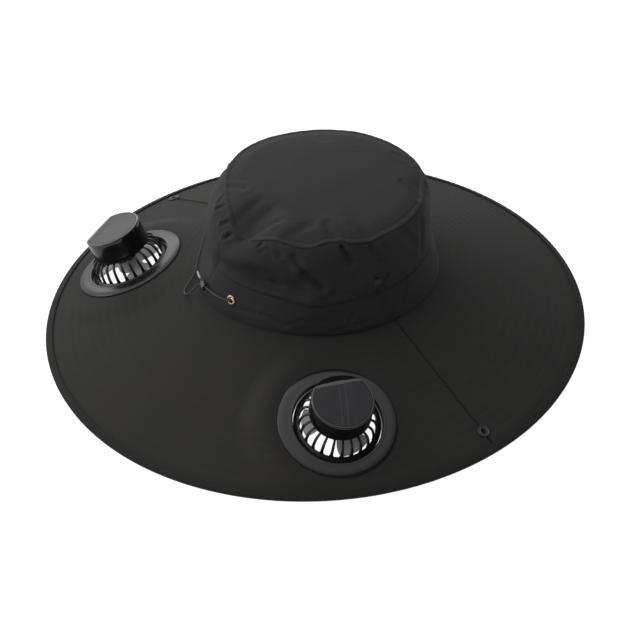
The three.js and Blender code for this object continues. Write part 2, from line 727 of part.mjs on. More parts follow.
// The domed guard: a sloping shelf in the collar, ribs with open slots between them, and the drum's seat. Its
// section is a quarter round, divided at these angles from the shelf up
const DOME_TURNS = [0, 38, 84];
function fanGrille() {
  const columns = 2 * RIB_COUNT;
  const pitch = (2 * Math.PI) / RIB_COUNT;
  const rise = GRILLE_HEIGHT - GRILLE_FOOT;
  const reach = GRILLE_SHELF - DRUM_RADIUS;
  const stations = [
    [RIM_RADIUS, GRILLE_FOOT - GRILLE_RIM],
    ...DOME_TURNS.map((degrees) => {
      const turn = radians(degrees);
      return [DRUM_RADIUS + reach * Math.cos(turn), GRILLE_FOOT + rise * Math.sin(turn)];
    }),
    [GRILLE_SEAT, GRILLE_HEIGHT],
  ];
  const normals = stations.map((station, j) => {
    const before = stations[Math.max(j - 1, 0)];
    const after = stations[Math.min(j + 1, stations.length - 1)];
    const [dr, dz] = [after[0] - before[0], after[1] - before[1]];
    const length = Math.hypot(dr, dz);
    return [dz / length, -dr / length];
  });
  return gridWall({
    columns,
    rows: stations.length - 1,
    around: true,
    filled: (i, j) => i % 2 === 0 || j === 0 || j === stations.length - 2,
    point: (i, j, skin) => {
      const half = (pitch * RIB_SHARE) / 2;
      const turn = Math.floor(i / 2) * pitch + (i % 2 === 0 ? -half : half);
      const radius = stations[j][0] - skin * GRILLE_WALL * normals[j][0];
      const height = stations[j][1] - skin * GRILLE_WALL * normals[j][1];
      return new THREE.Vector3(radius * Math.cos(turn), radius * Math.sin(turn), height);
    },
  });
}

// A half-space block beyond the drum's facet, for cutting
function facetBlock(fan, inset) {
  const size = 4 * DRUM_RADIUS;
  const block = new THREE.BoxGeometry(size, size, size).translate(0, 0, size / 2);
  block.rotateY(radians(FACET_TILT));
  block.translate(FACET_OFFSET - inset, 0, DRUM_TOP);
  return block.rotateZ(radians(fan.facet));
}

// The solar cell's outline: a disc cut straight along the facet's edge
function cellShape(fan, radius, inset) {
  const straight = FACET_OFFSET - inset;
  const half = Math.acos(straight / radius);
  const shape = new THREE.Shape();
  for (let k = 0; k <= CELL_STEPS; k += 1) {
    const turn = half + ((2 * Math.PI - 2 * half) * k) / CELL_STEPS + radians(fan.facet);
    if (k === 0) shape.moveTo(radius * Math.cos(turn), radius * Math.sin(turn));
    else shape.lineTo(radius * Math.cos(turn), radius * Math.sin(turn));
  }
  return shape;
}

// The drum over the motor, with a facet cut across one side, a bed for the cell and a shaft bore
function fanDrum(fan) {
  const bottom = DRUM_SEAT - MOTOR_DROP;
  let solid = solidOf(
    turned([
      [0, bottom],
      [MOTOR_RADIUS, bottom],
      [MOTOR_RADIUS, DRUM_SEAT],
      [DRUM_RADIUS, DRUM_SEAT],
      [DRUM_RADIUS, DRUM_TOP - DRUM_EDGE],
      [DRUM_RADIUS - DRUM_EDGE, DRUM_TOP],
      [0, DRUM_TOP],
    ]),
  );
  solid = solid.subtract(solidOf(facetBlock(fan, 0)));
  const depth = CELL_THICKNESS + GAP;
  const bed = new THREE.ExtrudeGeometry(
    cellShape(fan, DRUM_RADIUS - CELL_MARGIN + GAP, CELL_MARGIN - GAP),
    { depth: 2 * depth, bevelEnabled: false },
  ).translate(0, 0, DRUM_TOP - depth);
  const [width, from, to] = [SHAFT_RADIUS + GAP, bottom - GAP, bottom + SHAFT_REACH + GAP];
  const bore = turned([[0, from], [width, from], [width, to], [0, to]], SMALL_SIDES);
  solid = solid.subtract(solidOf(bed)).subtract(solidOf(bore));
  return geometryOf(solid);
}

function fanCell(fan) {
  const shape = cellShape(fan, DRUM_RADIUS - CELL_MARGIN, CELL_MARGIN);
  const cell = new THREE.ExtrudeGeometry(shape, { depth: CELL_THICKNESS, bevelEnabled: false });
  return closed(cell.translate(0, 0, DRUM_TOP - CELL_THICKNESS));
}

// One blade: a thin sheet that is pitched steeply at the hub and lies flatter at its tip
function blade(start) {
  return gridWall({
    columns: BLADE_COLUMNS,
    rows: BLADE_ROWS,
    around: false,
    point: (i, j, skin) => {
      const [across, share] = [i / BLADE_COLUMNS - 0.5, j / BLADE_ROWS];
      const radius = mix(ROTOR_HUB - BLADE_WALL, ROTOR_RADIUS, share);
      const turn = radians(start + BLADE_SPAN * across);
      const middle = mix(BLADE_PITCH.root, BLADE_PITCH.tip, share) * across;
      const height = middle + (skin === 0 ? BLADE_WALL / 2 : -BLADE_WALL / 2);
      return new THREE.Vector3(radius * Math.cos(turn), radius * Math.sin(turn), height);
    },
  });
}

// The rotor: a hub with its blades, on a shaft that turns in the drum's bore
function fanRotor(fan) {
  const seat = DRUM_SEAT - MOTOR_DROP;
  const top = seat - ROTOR_CLEAR;
  const bottom = top - ROTOR_HEIGHT;
  let solid = solidOf(
    turned(
      [
        [0, bottom],
        [ROTOR_HUB - DRUM_EDGE, bottom],
        [ROTOR_HUB, bottom + DRUM_EDGE],
        [ROTOR_HUB, top],
        [SHAFT_RADIUS, top],
        [SHAFT_RADIUS, seat + SHAFT_REACH],
        [0, seat + SHAFT_REACH],
      ],
      SMALL_SIDES,
    ),
  );
  for (let k = 0; k < BLADE_COUNT; k += 1) {
    const sheet = blade(fan.blade + (360 * k) / BLADE_COUNT);
    sheet.translate(0, 0, (top + bottom) / 2 - BLADE_DROP);
    solid = solid.add(solidOf(sheet));
  }
  return geometryOf(solid);
}

// The ring under the brim that holds the flange to the cloth
function fanClamp() {
  const top = -BRIM_CLOTH - GAP;
  return turned([
    [COLLAR_RADIUS + GAP, top - CLAMP_WALL],
    [CLAMP_RADIUS, top - CLAMP_WALL],
    [CLAMP_RADIUS, top],
    [COLLAR_RADIUS + GAP, top],
  ]);
}

// Materials, from the photo's colours
function finish(color, roughness, metalness = 0) {
  return new THREE.MeshStandardMaterial({ color, roughness, metalness });
}
const crownCloth = finish(0x383736, 0.85);
const brimCloth = finish(0x33312f, 0.85);
const tapeCloth = finish(0x24221f, 0.8);
const cordCloth = finish(0x3a3835, 0.7);
const blackPlastic = finish(0x1b1b1c, 0.25);
const satinPlastic = finish(0x303133, 0.4);
const greyPlastic = finish(0x6e6e6a, 0.45);
const cellGlass = finish(0x202226, 0.12);
const brass = finish(0xc8b48c, 0.3, 1);
const darkMetal = finish(0x2b2a29, 0.35, 0.6);

function piece(name, geometry, material, matrix = new THREE.Matrix4()) {
  const mesh = new THREE.Mesh(geometry, material);
  mesh.name = name;
  mesh.applyMatrix4(matrix);
  return mesh;
}

function crown() {
  const group = new THREE.Group();
  group.add(piece("crown_top", crownTop(), crownCloth));
  group.add(piece("crown_side", crownSide(), crownCloth));
  group.add(piece("crown_band", crownBand(), crownCloth));
  for (const [side, angle] of Object.entries(EYELET_ANGLES)) {
    group.add(piece(`eyelet_${side}`, eyelet(), brass, eyeletMatrix(angle)));
    group.add(piece(`drawcord_${side}`, drawcord(side), cordCloth));
  }
  group.add(piece("cord_bead", bead(), blackPlastic, beadMatrix()));
  const studUp = (BAND_HEIGHT + CROWN_STUD_UP) / CROWN_HEIGHT;
  for (const [side, angle] of Object.entries(CROWN_STUD_ANGLES)) {
    const matrix = wallMatrix(angle, studUp, blouse(angle, studUp));
    group.add(piece(`crown_stud_${side}`, crownStud(), darkMetal, matrix));
  }
  return group;
}

function brim() {
  const group = new THREE.Group();
  group.add(piece("brim_front", brimHalf(-180, FANS), brimCloth));
  group.add(piece("brim_back", brimHalf(0, []), brimCloth));
  group.add(piece("brim_binding", brimBinding(), tapeCloth));
  for (const [side, angle] of Object.entries(STUD_ANGLES)) {
    const point = brimPoint(angle, brimRadius(angle) - STUD_INSET, 0);
    const spin = new THREE.Matrix4().makeRotationZ(radians(angle));
    const tilt = new THREE.Matrix4().makeRotationY(BRIM_SLOPE);
    const matrix = spin.multiply(tilt).setPosition(point);
    group.add(piece(`brim_stud_${side}`, brimStud(), darkMetal, matrix));
  }
  return group;
}

function solarFan(fan) {
  const group = new THREE.Group();
  const name = (part) => `fan_${fan.side}_${part}`;
  group.add(piece(name("flange"), fanFlange(), satinPlastic));
  group.add(piece(name("grille"), fanGrille(), blackPlastic));
  group.add(piece(name("drum"), fanDrum(fan), blackPlastic));
  group.add(piece(name("solar_cell"), fanCell(fan), cellGlass));
  group.add(piece(name("rotor"), fanRotor(fan), greyPlastic));
  group.add(piece(name("clamp_ring"), fanClamp(), blackPlastic));
  group.applyMatrix4(fanMatrix(fan));
  return group;
}

const hat = new THREE.Group();
hat.add(crown(), brim(), ...FANS.map(solarFan));

export default hat;
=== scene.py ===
# %% [markdown]
# # A sun hat with two solar fans
# This lesson dresses a imported CAD model of a wide cloth hat. The CAD solids say where every piece is and how
# large it is. Here each piece gets the surface that the eye meets: creased cloth, rows of stitches, tape,
# moulded plastic, brass and cord. The model comes in as a fixed frame.

# %% The frame
import math

import bmesh
import bpy
import numpy as np
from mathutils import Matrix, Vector


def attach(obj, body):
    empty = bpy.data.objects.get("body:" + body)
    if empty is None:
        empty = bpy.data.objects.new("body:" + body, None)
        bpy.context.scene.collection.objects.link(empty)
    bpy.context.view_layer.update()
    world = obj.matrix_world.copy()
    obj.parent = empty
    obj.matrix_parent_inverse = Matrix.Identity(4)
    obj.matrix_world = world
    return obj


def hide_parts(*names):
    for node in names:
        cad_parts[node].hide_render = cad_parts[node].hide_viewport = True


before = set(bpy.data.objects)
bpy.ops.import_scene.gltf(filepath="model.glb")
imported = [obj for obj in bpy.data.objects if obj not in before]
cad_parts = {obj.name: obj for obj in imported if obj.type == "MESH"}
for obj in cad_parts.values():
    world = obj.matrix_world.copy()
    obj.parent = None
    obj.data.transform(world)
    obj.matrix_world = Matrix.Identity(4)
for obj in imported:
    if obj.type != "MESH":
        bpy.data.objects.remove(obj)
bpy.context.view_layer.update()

# %% [markdown]
# ## Sizes
# A milliner works from a few sizes: the head, the crown's height, the brim's width. All sizes here are in
# millimetres and are turned to metres only when a mesh is written. A value called a share is a part of the
# size that it is named with. The fans have sizes of their own, counted from the middle of their opening.

# %% Sizes of the hat and of its fans
MM = 0.001
GAP = 0.3
BRIM_LONG, BRIM_SHORT, BRIM_LONG_ANGLE = 455.0, 435.0, 105.0
BRIM_CLOTH, BRIM_RISE = 2.0, 51.5
TAPE, TAPE_WIDTH, TAPE_FLAT = 0.9, 5.5, 0.6
CROWN_RADIUS, CROWN_HEIGHT, CROWN_CLOTH, CROWN_DOME = 96.5, 77.0, 1.5, 5.0
CROWN_LEAN_X, CROWN_LEAN_Y = 3.7, 3.0
BAND_HEIGHT = 29.0
BLOUSE, BLOUSE_REACH = 1.2, 0.2
CORD_DIAMETER, BEAD_RADIUS, BEAD_BORE, BEAD_LENGTH = 1.2, 2.9, 2.05, 7.0
EYELET_RADIUS, EYELET_BORE, EYELET_METAL, EYELET_HEIGHT = 4.1, 2.2, 0.5, 14.2
STUD_RADIUS, STUD_HOLE, STUD_HEIGHT, STUD_INSET = 5.0, 1.9, 1.8, 16.0
CAP_RADIUS, CAP_HEIGHT, CAP_UP = 3.6, 1.4, 11.0
FAN_RADIUS = (BRIM_SHORT / 2 - CROWN_RADIUS) * 0.376
FAN_OPENING = FAN_RADIUS * 0.745
COLLAR_WALL, COLLAR_DEPTH = 1.6, FAN_RADIUS * 0.132
COLLAR_RADIUS = FAN_OPENING + COLLAR_WALL
FLANGE_EDGE, FLANGE_LIP = 1.4, 3.2
GRILLE_HEIGHT, GRILLE_WALL = FAN_RADIUS * 0.37, 1.6
GRILLE_SHELF, GRILLE_SEAT = FAN_RADIUS * 0.66, FAN_RADIUS * 0.418
RIM_RADIUS = FAN_OPENING - 0.53
RIB_COUNT, RIB_SHARE = 24, 0.3
DRUM_RADIUS, DRUM_EDGE = FAN_RADIUS * 0.519, 1.2
DRUM_SEAT = GRILLE_HEIGHT + GAP
DRUM_TOP = DRUM_SEAT + FAN_RADIUS * 0.422
FACET_OFFSET, FACET_TILT = FAN_RADIUS * 0.325, 27.0
CELL_MARGIN, CELL_THICKNESS = 2.0, 0.8
MOTOR_RADIUS, MOTOR_DROP = FAN_RADIUS * 0.242, 8.0
SHAFT_RADIUS, SHAFT_REACH = 1.5, 6.0
ROTOR_RADIUS, ROTOR_HUB, ROTOR_HEIGHT = FAN_RADIUS * 0.6, FAN_RADIUS * 0.231, FAN_RADIUS * 0.242
BLADE_COUNT, BLADE_SPAN, BLADE_WALL = 3, 62.0, 1.2
CLAMP_WALL, CLAMP_RADIUS = 1.6, FAN_RADIUS * 0.934
FANS = [
    dict(side="right", angle=-33.5, out=0.5507, roll=-4.2, facet=190.0, blade=25.0),
    dict(side="left", angle=-141.4, out=0.512, roll=0.0, facet=342.0, blade=124.0),
]
print("fan radius", round(FAN_RADIUS, 2), "drum top", round(DRUM_TOP, 2))

# %% [markdown]
# ## Camera, floor and light
# The hat lies in a light tent and is seen from its front right, 38 degrees down. A long lens far away keeps
# the round outlines of the brim calm. The floor shines a little by itself, as a lit white table does, so that
# the light also comes up through the fans' slots.

# %% Camera
LENS_PIXELS, IMAGE_PIXELS, SENSOR = 1900.0, 640.0, 36.0
TARGET = np.array([46.4, -34.0, 40.0])
AZIMUTH, ELEVATION, DISTANCE = math.radians(51), math.radians(38), 1500.0
BACKWARDS = np.array([
    math.sin(AZIMUTH) * math.cos(ELEVATION),
    -math.cos(AZIMUTH) * math.cos(ELEVATION),
    math.sin(ELEVATION),
])


def aimed(name, data, place, target):
    """An object at a place, in millimetres, whose -Z axis points at a target."""
    made = bpy.data.objects.new(name, data)
    bpy.context.scene.collection.objects.link(made)
    direction = Vector((target - place) * MM)
    made.rotation_euler = direction.to_track_quat("-Z", "Y").to_euler()
    made.location = place * MM
    return made


lens = bpy.data.cameras.new("camera")
lens.sensor_width = SENSOR
lens.lens = LENS_PIXELS / IMAGE_PIXELS * SENSOR
lens.clip_end = 20
camera = aimed("camera", lens, TARGET + DISTANCE * BACKWARDS, TARGET)
bpy.context.scene.camera = camera
bpy.context.scene.view_settings.view_transform = "Standard"
print("lens in mm:", round(lens.lens, 1))

# %% Soft studio light
RIGHTWARDS = np.array([math.cos(AZIMUTH), math.sin(AZIMUTH), 0.0])
AWAY = np.array([-math.sin(AZIMUTH), math.cos(AZIMUTH), 0.0])
UPWARDS = np.array([0.0, 0.0, 1.0])
LIGHTS = [
    dict(name="back_strip", right=-500, away=1500, up=600, width=1400, height=500, watts=3.0),
    dict(name="left_strip", right=-1500, away=100, up=500, width=500, height=900, watts=2.5),
]
HAT_MIDDLE = np.array([0.0, 0.0, 40.0])
BRIGHT_SIDE = -0.5 * RIGHTWARDS + 0.35 * AWAY + 0.8 * UPWARDS
DIM, BRIGHT, DARK_FROM = 0.03, 1.35, 0.0


def softbox(row):
    """A rectangular area light, placed as the camera sees it: right, away and up from the hat."""
    data = bpy.data.lights.new(row["name"], "AREA")
    data.shape = "RECTANGLE"
    data.size, data.size_y = row["width"] * MM, row["height"] * MM
    data.energy = row["watts"]
    place = row["right"] * RIGHTWARDS + row["away"] * AWAY + row["up"] * UPWARDS
    return aimed(row["name"], data, place, HAT_MIDDLE)


lamps = [softbox(row) for row in LIGHTS]
world = bpy.data.worlds.new("studio")
world.use_nodes = True
sky = world.node_tree
direction = sky.nodes.new("ShaderNodeTexCoord").outputs["Generated"]
toward = sky.nodes.new("ShaderNodeVectorMath")
toward.operation = "DOT_PRODUCT"
toward.inputs[1].default_value = BRIGHT_SIDE
level = sky.nodes.new("ShaderNodeMapRange")
level.inputs["From Min"].default_value = DARK_FROM
level.inputs["To Min"].default_value = DIM
level.inputs["To Max"].default_value = BRIGHT
sky.links.new(direction, toward.inputs[0])
sky.links.new(toward.outputs["Value"], level.inputs["Value"])
sky.links.new(level.outputs["Result"], sky.nodes["Background"].inputs["Strength"])
sky.nodes["Background"].inputs["Color"].default_value = (1.0, 1.0, 1.0, 1.0)
bpy.context.scene.world = world
print("lights:", [lamp.name for lamp in lamps])

# %% [markdown]
# ## Meshes from arrays
# A piece is a grid of points worked out with numpy. A shell is such a grid with its quads and a flat map in
# millimetres, which woven patterns follow. Several shells can make one piece. A shell that closes on itself
# is turned outwards by the sign of its volume.

# %% Shells and pieces
def flat_map(grid, around, loop):
    """Mean distances along both ways of the grid, added up: the grid unrolled, in millimetres."""
    first = np.concatenate([grid, grid[:1]]) if around else grid
    second = np.concatenate([grid, grid[:, :1]], axis=1) if loop else grid
    along = np.linalg.norm(np.diff(first, axis=0), axis=2).mean(axis=1)
    across = np.linalg.norm(np.diff(second, axis=1), axis=2).mean(axis=0)
    u = np.concatenate([[0], np.cumsum(along)])
    v = np.concatenate([[0], np.cumsum(across)])
    return np.stack(np.meshgrid(u, v, indexing="ij"), axis=-1)


def shell(grid, around=False, loop=False, uv=None, kept=None):
    """Quads between neighbouring points of a grid [n, m]. around joins the last row to the first and loop
    the last column; kept is a mask of quads. The volume, a sum of a . (b x c), gives the way they face."""
    n, m = grid.shape[:2]
    uv = flat_map(grid, around, loop) if uv is None else uv
    rows, columns = np.arange(n if around else n - 1), np.arange(m if loop else m - 1)
    i, j = np.meshgrid(rows, columns, indexing="ij")
    i1, j1 = (i + 1) % n, (j + 1) % m
    quads = np.stack([i * m + j, i1 * m + j, i1 * m + j1, i * m + j1], axis=-1)
    corners = np.stack([uv[i, j], uv[i + 1, j], uv[i + 1, j + 1], uv[i, j + 1]], axis=-2)
    mask = np.ones(i.shape, bool) if kept is None else kept
    return grid.reshape(-1, 3), quads[mask], corners[mask]


def turned_round(made):
    """The shell with its quads facing the other way."""
    points, quads, corners = made
    return points, quads[:, ::-1], corners[:, ::-1]


def outwards(made):
    """The shell with its quads turned round if its volume is negative."""
    points, quads = made[:2]
    a, b, c, d = (points[quads[:, k]] for k in range(4))
    volume = np.einsum("ij,ij->", a, np.cross(b, c)) + np.einsum("ij,ij->", a, np.cross(c, d))
    return turned_round(made) if volume < 0 else made


def joined(shells):
    """Several shells as one: the quads of each count on from the points before it."""
    starts = np.cumsum([0] + [len(made[0]) for made in shells[:-1]])
    points = np.concatenate([made[0] for made in shells])
    quads = np.concatenate([made[1] + start for made, start in zip(shells, starts)])
    return points, quads, np.concatenate([made[2] for made in shells])


PIECES = {}


def piece(name, made, material, replaces=(), body="hat", crisp=38):
    """Writes a shell as a Blender mesh in metres, merges the points of its poles, hangs it on its body and
    hides the CAD parts that it replaces. Edges sharper than crisp degrees stay crisp."""
    points, quads, corners = made
    mesh = bpy.data.meshes.new(name)
    mesh.from_pydata((points * MM).tolist(), [], quads.tolist())
    layer = mesh.uv_layers.new(name="flat")
    layer.uv.foreach_set("vector", corners.reshape(-1).astype(np.float32))
    merged = bmesh.new()
    merged.from_mesh(mesh)
    bmesh.ops.remove_doubles(merged, verts=merged.verts, dist=1e-7)
    merged.to_mesh(mesh)
    merged.free()
    mesh.shade_smooth()
    mesh.set_sharp_from_angle(angle=math.radians(crisp))
    mesh.materials.append(material)
    made_piece = bpy.data.objects.new(name, mesh)
    bpy.context.scene.collection.objects.link(made_piece)
    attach(made_piece, body)
    if replaces:
        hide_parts(*replaces)
    PIECES[name] = made_piece
    return made_piece


# %% Profiles and turning
def rounded(corners, radius, steps=4):
    """A closed outline with each corner p drawn as a curve from p + s(before - p) to p + s(after - p), where
    s = radius / side, at most 0.45. The curve is (1-t)^2 a + 2t(1-t) p + t^2 b."""
    p = np.asarray(corners, float)
    radius = np.broadcast_to(np.asarray(radius, float), len(p))[:, None]
    ends = []
    for other in (np.roll(p, 1, axis=0), np.roll(p, -1, axis=0)):
        side = np.linalg.norm(other - p, axis=1, keepdims=True)
        ends.append(p + (other - p) * np.minimum(radius / side, 0.45))
    t = np.linspace(0, 1, steps + 1)[None, :, None]
    a, b, p = ends[0][:, None], ends[1][:, None], p[:, None]
    return ((1 - t) ** 2 * a + 2 * t * (1 - t) * p + t**2 * b).reshape(-1, 2)


def turned(profile, sides=128, closed=True):
    """A ring turned about z: each (r, z) of the profile goes to (r cos a, r sin a, z) for every angle a."""
    a = np.linspace(0, 2 * np.pi, sides, endpoint=False)[:, None]
    r, z = np.asarray(profile, float).T
    grid = np.stack([r * np.cos(a), r * np.sin(a), z + 0 * a], axis=-1)
    return outwards(shell(grid, around=True, loop=closed))


def placed(made, seat):
    """The shell's points carried into a seat: origin + x ex + y ey + z ez."""
    origin, axes = seat
    return made[0] @ axes + origin, made[1], made[2]


# %% [markdown]
# ## Where the cloth lies
# The brim is a shallow oval cone. Under each fan it is drawn flat, because the fan's hard flange clamps it.
# The crown is an upright wall with a shallow lid. Its folds are bell-shaped swellings and dents from a short
# table, the same as in the CAD, so the fine surface lies on the coarse one.

# %% Simple curves
def apart(a, b):
    """Angle from b to a in degrees, wrapped to lie between -180 and 180."""
    return (a - b + 180) % 360 - 180


def bell(distance, spread):
    """exp(-(distance / spread)^2)."""
    return np.exp(-((distance / spread) ** 2))


def smooth(value, low, high):
    """3t^2 - 2t^3, where t goes from 0 at low to 1 at high."""
    t = np.clip((value - low) / (high - low), 0, 1)
    return t * t * (3 - 2 * t)


def mix(a, b, t):
    """a + (b - a) t."""
    return a + (b - a) * t


def polar(radius, angle, height):
    """(r cos a, r sin a, z) for angles in degrees."""
    a = np.radians(angle)
    return np.stack(np.broadcast_arrays(radius * np.cos(a), radius * np.sin(a), height), axis=-1)


WAVES = np.random.default_rng(11).uniform(-1, 1, (40, 3))


def ripples(u, v, length, first, count=7):
    """A sum of sines sin(u a + v b + c) whose directions and phases come from a fixed table, about as long
    as length, between -1 and 1."""
    total = 0
    for a, b, c in WAVES[first:first + count]:
        total = total + np.sin((u * (a + 0.3) + v * (b + 0.2)) * 7 / length + 9 * c)
    return total / count


# %% The brim's form
SLOPE = math.atan2(BRIM_RISE, (BRIM_LONG + BRIM_SHORT) / 4 - CROWN_RADIUS)
SIN, COS = math.sin(SLOPE), math.cos(SLOPE)
EDGE_Z = (TAPE + GAP) * SIN + (TAPE + GAP + BRIM_CLOTH) * COS - TAPE_FLAT
BASE_Z = EDGE_Z + BRIM_RISE
FLAT_REACH, EASE_REACH, STIFF_EDGE = 5.0, 26.0, 0.935


def brim_radius(angle):
    """Radius of the oval a b / |(b cos t, a sin t)|, t counted from its long axis."""
    t = np.radians(angle - BRIM_LONG_ANGLE)
    a, b = BRIM_LONG / 2 - TAPE - GAP, BRIM_SHORT / 2 - TAPE - GAP
    return a * b / np.hypot(b * np.cos(t), a * np.sin(t))


def cone_height(radius, angle):
    """Height of the bare cone: straight down from the crown's base to the edge."""
    share = (radius - CROWN_RADIUS) / (brim_radius(angle) - CROWN_RADIUS)
    return mix(BASE_Z, EDGE_Z, share)


def slope_axes(angle):
    """x down the brim's slope, y level, z off its face, at an angle round the hat."""
    t = math.radians(angle)
    return np.array([
        [math.cos(t) * COS, math.sin(t) * COS, -SIN],
        [-math.sin(t), math.cos(t), 0.0],
        [math.cos(t) * SIN, math.sin(t) * SIN, COS],
    ])


def fan_seat(fan):
    """Origin and axes of a fan: those of the slope, with y and z turned about x by the fan's roll."""
    t = math.radians(fan["angle"])
    out = mix(CROWN_RADIUS, brim_radius(fan["angle"]), fan["out"])
    origin = np.array([out * math.cos(t), out * math.sin(t), cone_height(out, fan["angle"])])
    roll = math.radians(fan["roll"])
    lean = [[1, 0, 0], [0, math.cos(roll), math.sin(roll)], [0, -math.sin(roll), math.cos(roll)]]
    return origin, np.array(lean) @ slope_axes(fan["angle"])


def brim_height(x, y):
    """The cone, drawn to each fan's plane within its flange and eased back to the cone beyond it."""
    angle, radius = np.degrees(np.arctan2(y, x)), np.hypot(x, y)
    height = cone_height(radius, angle)
    free = 1 - smooth(radius / brim_radius(angle), STIFF_EDGE, 1)
    for fan in FANS:
        origin, axes = fan_seat(fan)
        dx, dy = x - origin[0], y - origin[1]
        fall = -(axes[2][0] * dx + axes[2][1] * dy) / axes[2][2]
        reach = np.sqrt(dx**2 + dy**2 + fall**2) - FAN_RADIUS - FLAT_REACH
        ease = (1 - smooth(reach, 0, EASE_REACH)) * free
        height = mix(height, origin[2] + fall, ease)
    return height


def from_fan(points, fan):
    """Distance of points from a fan's axis."""
    origin, axes = fan_seat(fan)
    local = (points - origin) @ axes.T
    return np.hypot(local[..., 0], local[..., 1])


print("brim slope in degrees:", round(math.degrees(SLOPE), 2), "base at", round(BASE_Z, 1))

# %% The crown's form
CROWN_PROFILE = np.array([
    (0.0, 1.0), (0.18, 0.975), (0.36, 0.952), (0.5, 0.941), (0.7, 0.92), (0.88, 0.89), (1.0, 0.852),
])
PROFILE_CURVE = np.polyfit(CROWN_PROFILE[:, 0], CROWN_PROFILE[:, 1], 4)
# Each fold: angle, height share, depth as a share of the radius, spread in degrees, reach, lean with height
FOLDS = [
    (-94, 0.0, 0.035, 17, 0.35, 0), (42, 0.0, 0.035, 34, 0.4, 0), (135, 0.75, 0.012, 30, 0.3, 0),
    (-66, 0.6, -0.05, 13, 0.16, -20), (-45, 0.62, -0.028, 7, 0.18, 25), (-40, 0.84, 0.02, 8, 0.14, 0),
    (-27, 0.9, -0.045, 5, 0.17, -30), (-13, 0.86, -0.028, 5, 0.16, -15), (2, 0.8, 0.014, 9, 0.16, 0),
    (-84, 0.86, -0.035, 5, 0.12, 35), (-112, 0.8, 0.012, 9, 0.2, 0), (-116, 0.34, -0.02, 6, 0.1, 0),
    (-120, 0.26, -0.055, 15, 0.15, 0), (-132, 0.24, -0.045, 14, 0.15, 0), (55, 0.49, -0.042, 24, 0.3, 0),
    (95, 0.55, -0.02, 10, 0.25, 20), (170, 0.6, -0.022, 9, 0.22, -20), (205, 0.82, -0.018, 7, 0.15, 10),
]
TOP_DIPS = [(-86, 0.15, 13), (-50, 0.03, 9), (-14, 0.035, 6), (150, 0.03, 25)]
BAND_DIPS = [(-41, 0.17, 13), (28, -0.16, 24), (-116, 0.1, 12), (160, 0.1, 30)]


def dips(table, angle):
    """Sum of bells: angle of the middle, depth as a share, width in degrees."""
    return sum(depth * bell(apart(angle, middle), width) for middle, depth, width in table)


def top_seam(angle):
    """Height share of the seam between wall and lid."""
    return 1 - dips(TOP_DIPS, angle)


def band_seam(angle):
    """Height share of the seam between band and wall."""
    return BAND_HEIGHT / CROWN_HEIGHT * (1 - dips(BAND_DIPS, angle))


def crown_point(angle, up, out=0.0):
    """Point on the crown. The radius is CROWN_RADIUS (profile(up) + sum of folds) + out, and the middle
    leans over with height."""
    radius = np.polyval(PROFILE_CURVE, np.minimum(up, 1))
    for middle, middle_up, depth, spread, reach, lean in FOLDS:
        across = bell(apart(angle, middle + lean * (up - middle_up)), spread)
        radius = radius + depth * across * bell(up - middle_up, reach)
    point = polar(CROWN_RADIUS * radius + out, angle, BASE_Z + CROWN_HEIGHT * up)
    point[..., 0] += CROWN_LEAN_X * up
    point[..., 1] += CROWN_LEAN_Y * up
    return point


def blouse(angle, up):
    """How far the wall stands out over the band that it is sewn to."""
    return BLOUSE * bell(up - band_seam(angle) - BLOUSE_REACH / 2, BLOUSE_REACH)


# %% [markdown]
# ## Cord first
# A thin cord runs through the band and comes out at two brass eyelets. Its right strand runs along the band
# and through a small bead to a pale tip. Its left strand droops to the brim in a slack loop and ends in the
# bead. Each strand is a round section carried along a smooth curve through listed points.

# %% Routes of the two strands: angle, height over the base seam, distance out from the band
ROUTES = {
    "right": [
        (-83.3, 14.2, -0.4), (-83.4, 14.2, 1.1), (-84.1, 14.1, 2.3), (-86.2, 13.8, 2.8), (-89.5, 13.2, 2.9),
        (-93, 12.5, 3.0), (-96.5, 11.8, 3.2), (-99.5, 11.2, 3.5), (-102.5, 10.7, 3.6), (-104.7, 10.8, 3.9),
        (-107, 11.2, 4.8), (-109.5, 12, 6.2), (-112.2, 13.3, 8.0),
    ],
    "left": [
        (-147, 14.2, -0.4), (-146.9, 14.2, 1.2), (-146.3, 13.9, 2.0), (-143.6, 12.0, 1.8), (-138.5, 8.8, 1.5),
        (-133, 6.0, 1.5), (-127.5, 3.9, 1.6), (-122.5, 2.3, 2.2), (-118.5, 0.9, 3.9), (-115.3, -1.2, 7.2),
        (-112.9, -2.9, 10.4), (-110.8, -3.7, 12.1),
        (-108.4, -2.8, 12.2), (-106.9, 0.2, 10.2), (-106.6, 3.8, 7.6), (-106.4, 7, 5.4),
        (-105.2, 8.9, 4.2), (-104, 9.3, 3.7), (-102.5, 9.3, 3.6), (-101, 9.3, 3.6),
    ],
}
EYELET_ANGLES = dict(right=-83.3, left=-147.0)
BEAD_ANGLE, BEAD_UP, BEAD_OUT = -102.5, 10.0, 3.6


def beside_band(angle, up, out):
    """A point beside the band, out from its face."""
    return crown_point(angle, up / CROWN_HEIGHT, out)


def smooth_path(points, per_span=8):
    """Catmull-Rom curve: each span is 0.5 (2b + (c-a)t + (2a-5b+4c-d)t^2 + (3b-a-3c+d)t^3)."""
    p = np.concatenate([2 * points[:1] - points[1:2], points, 2 * points[-1:] - points[-2:-1]])
    a, b, c, d = (p[k:len(p) - 3 + k, None] for k in range(4))
    t = np.linspace(0, 1, per_span, endpoint=False)[None, :, None]
    curve = b + 0.5 * ((c - a) * t + (2 * a - 5 * b + 4 * c - d) * t**2 + (3 * b - a - 3 * c + d) * t**3)
    return np.concatenate([curve.reshape(-1, 3), points[-1:]])


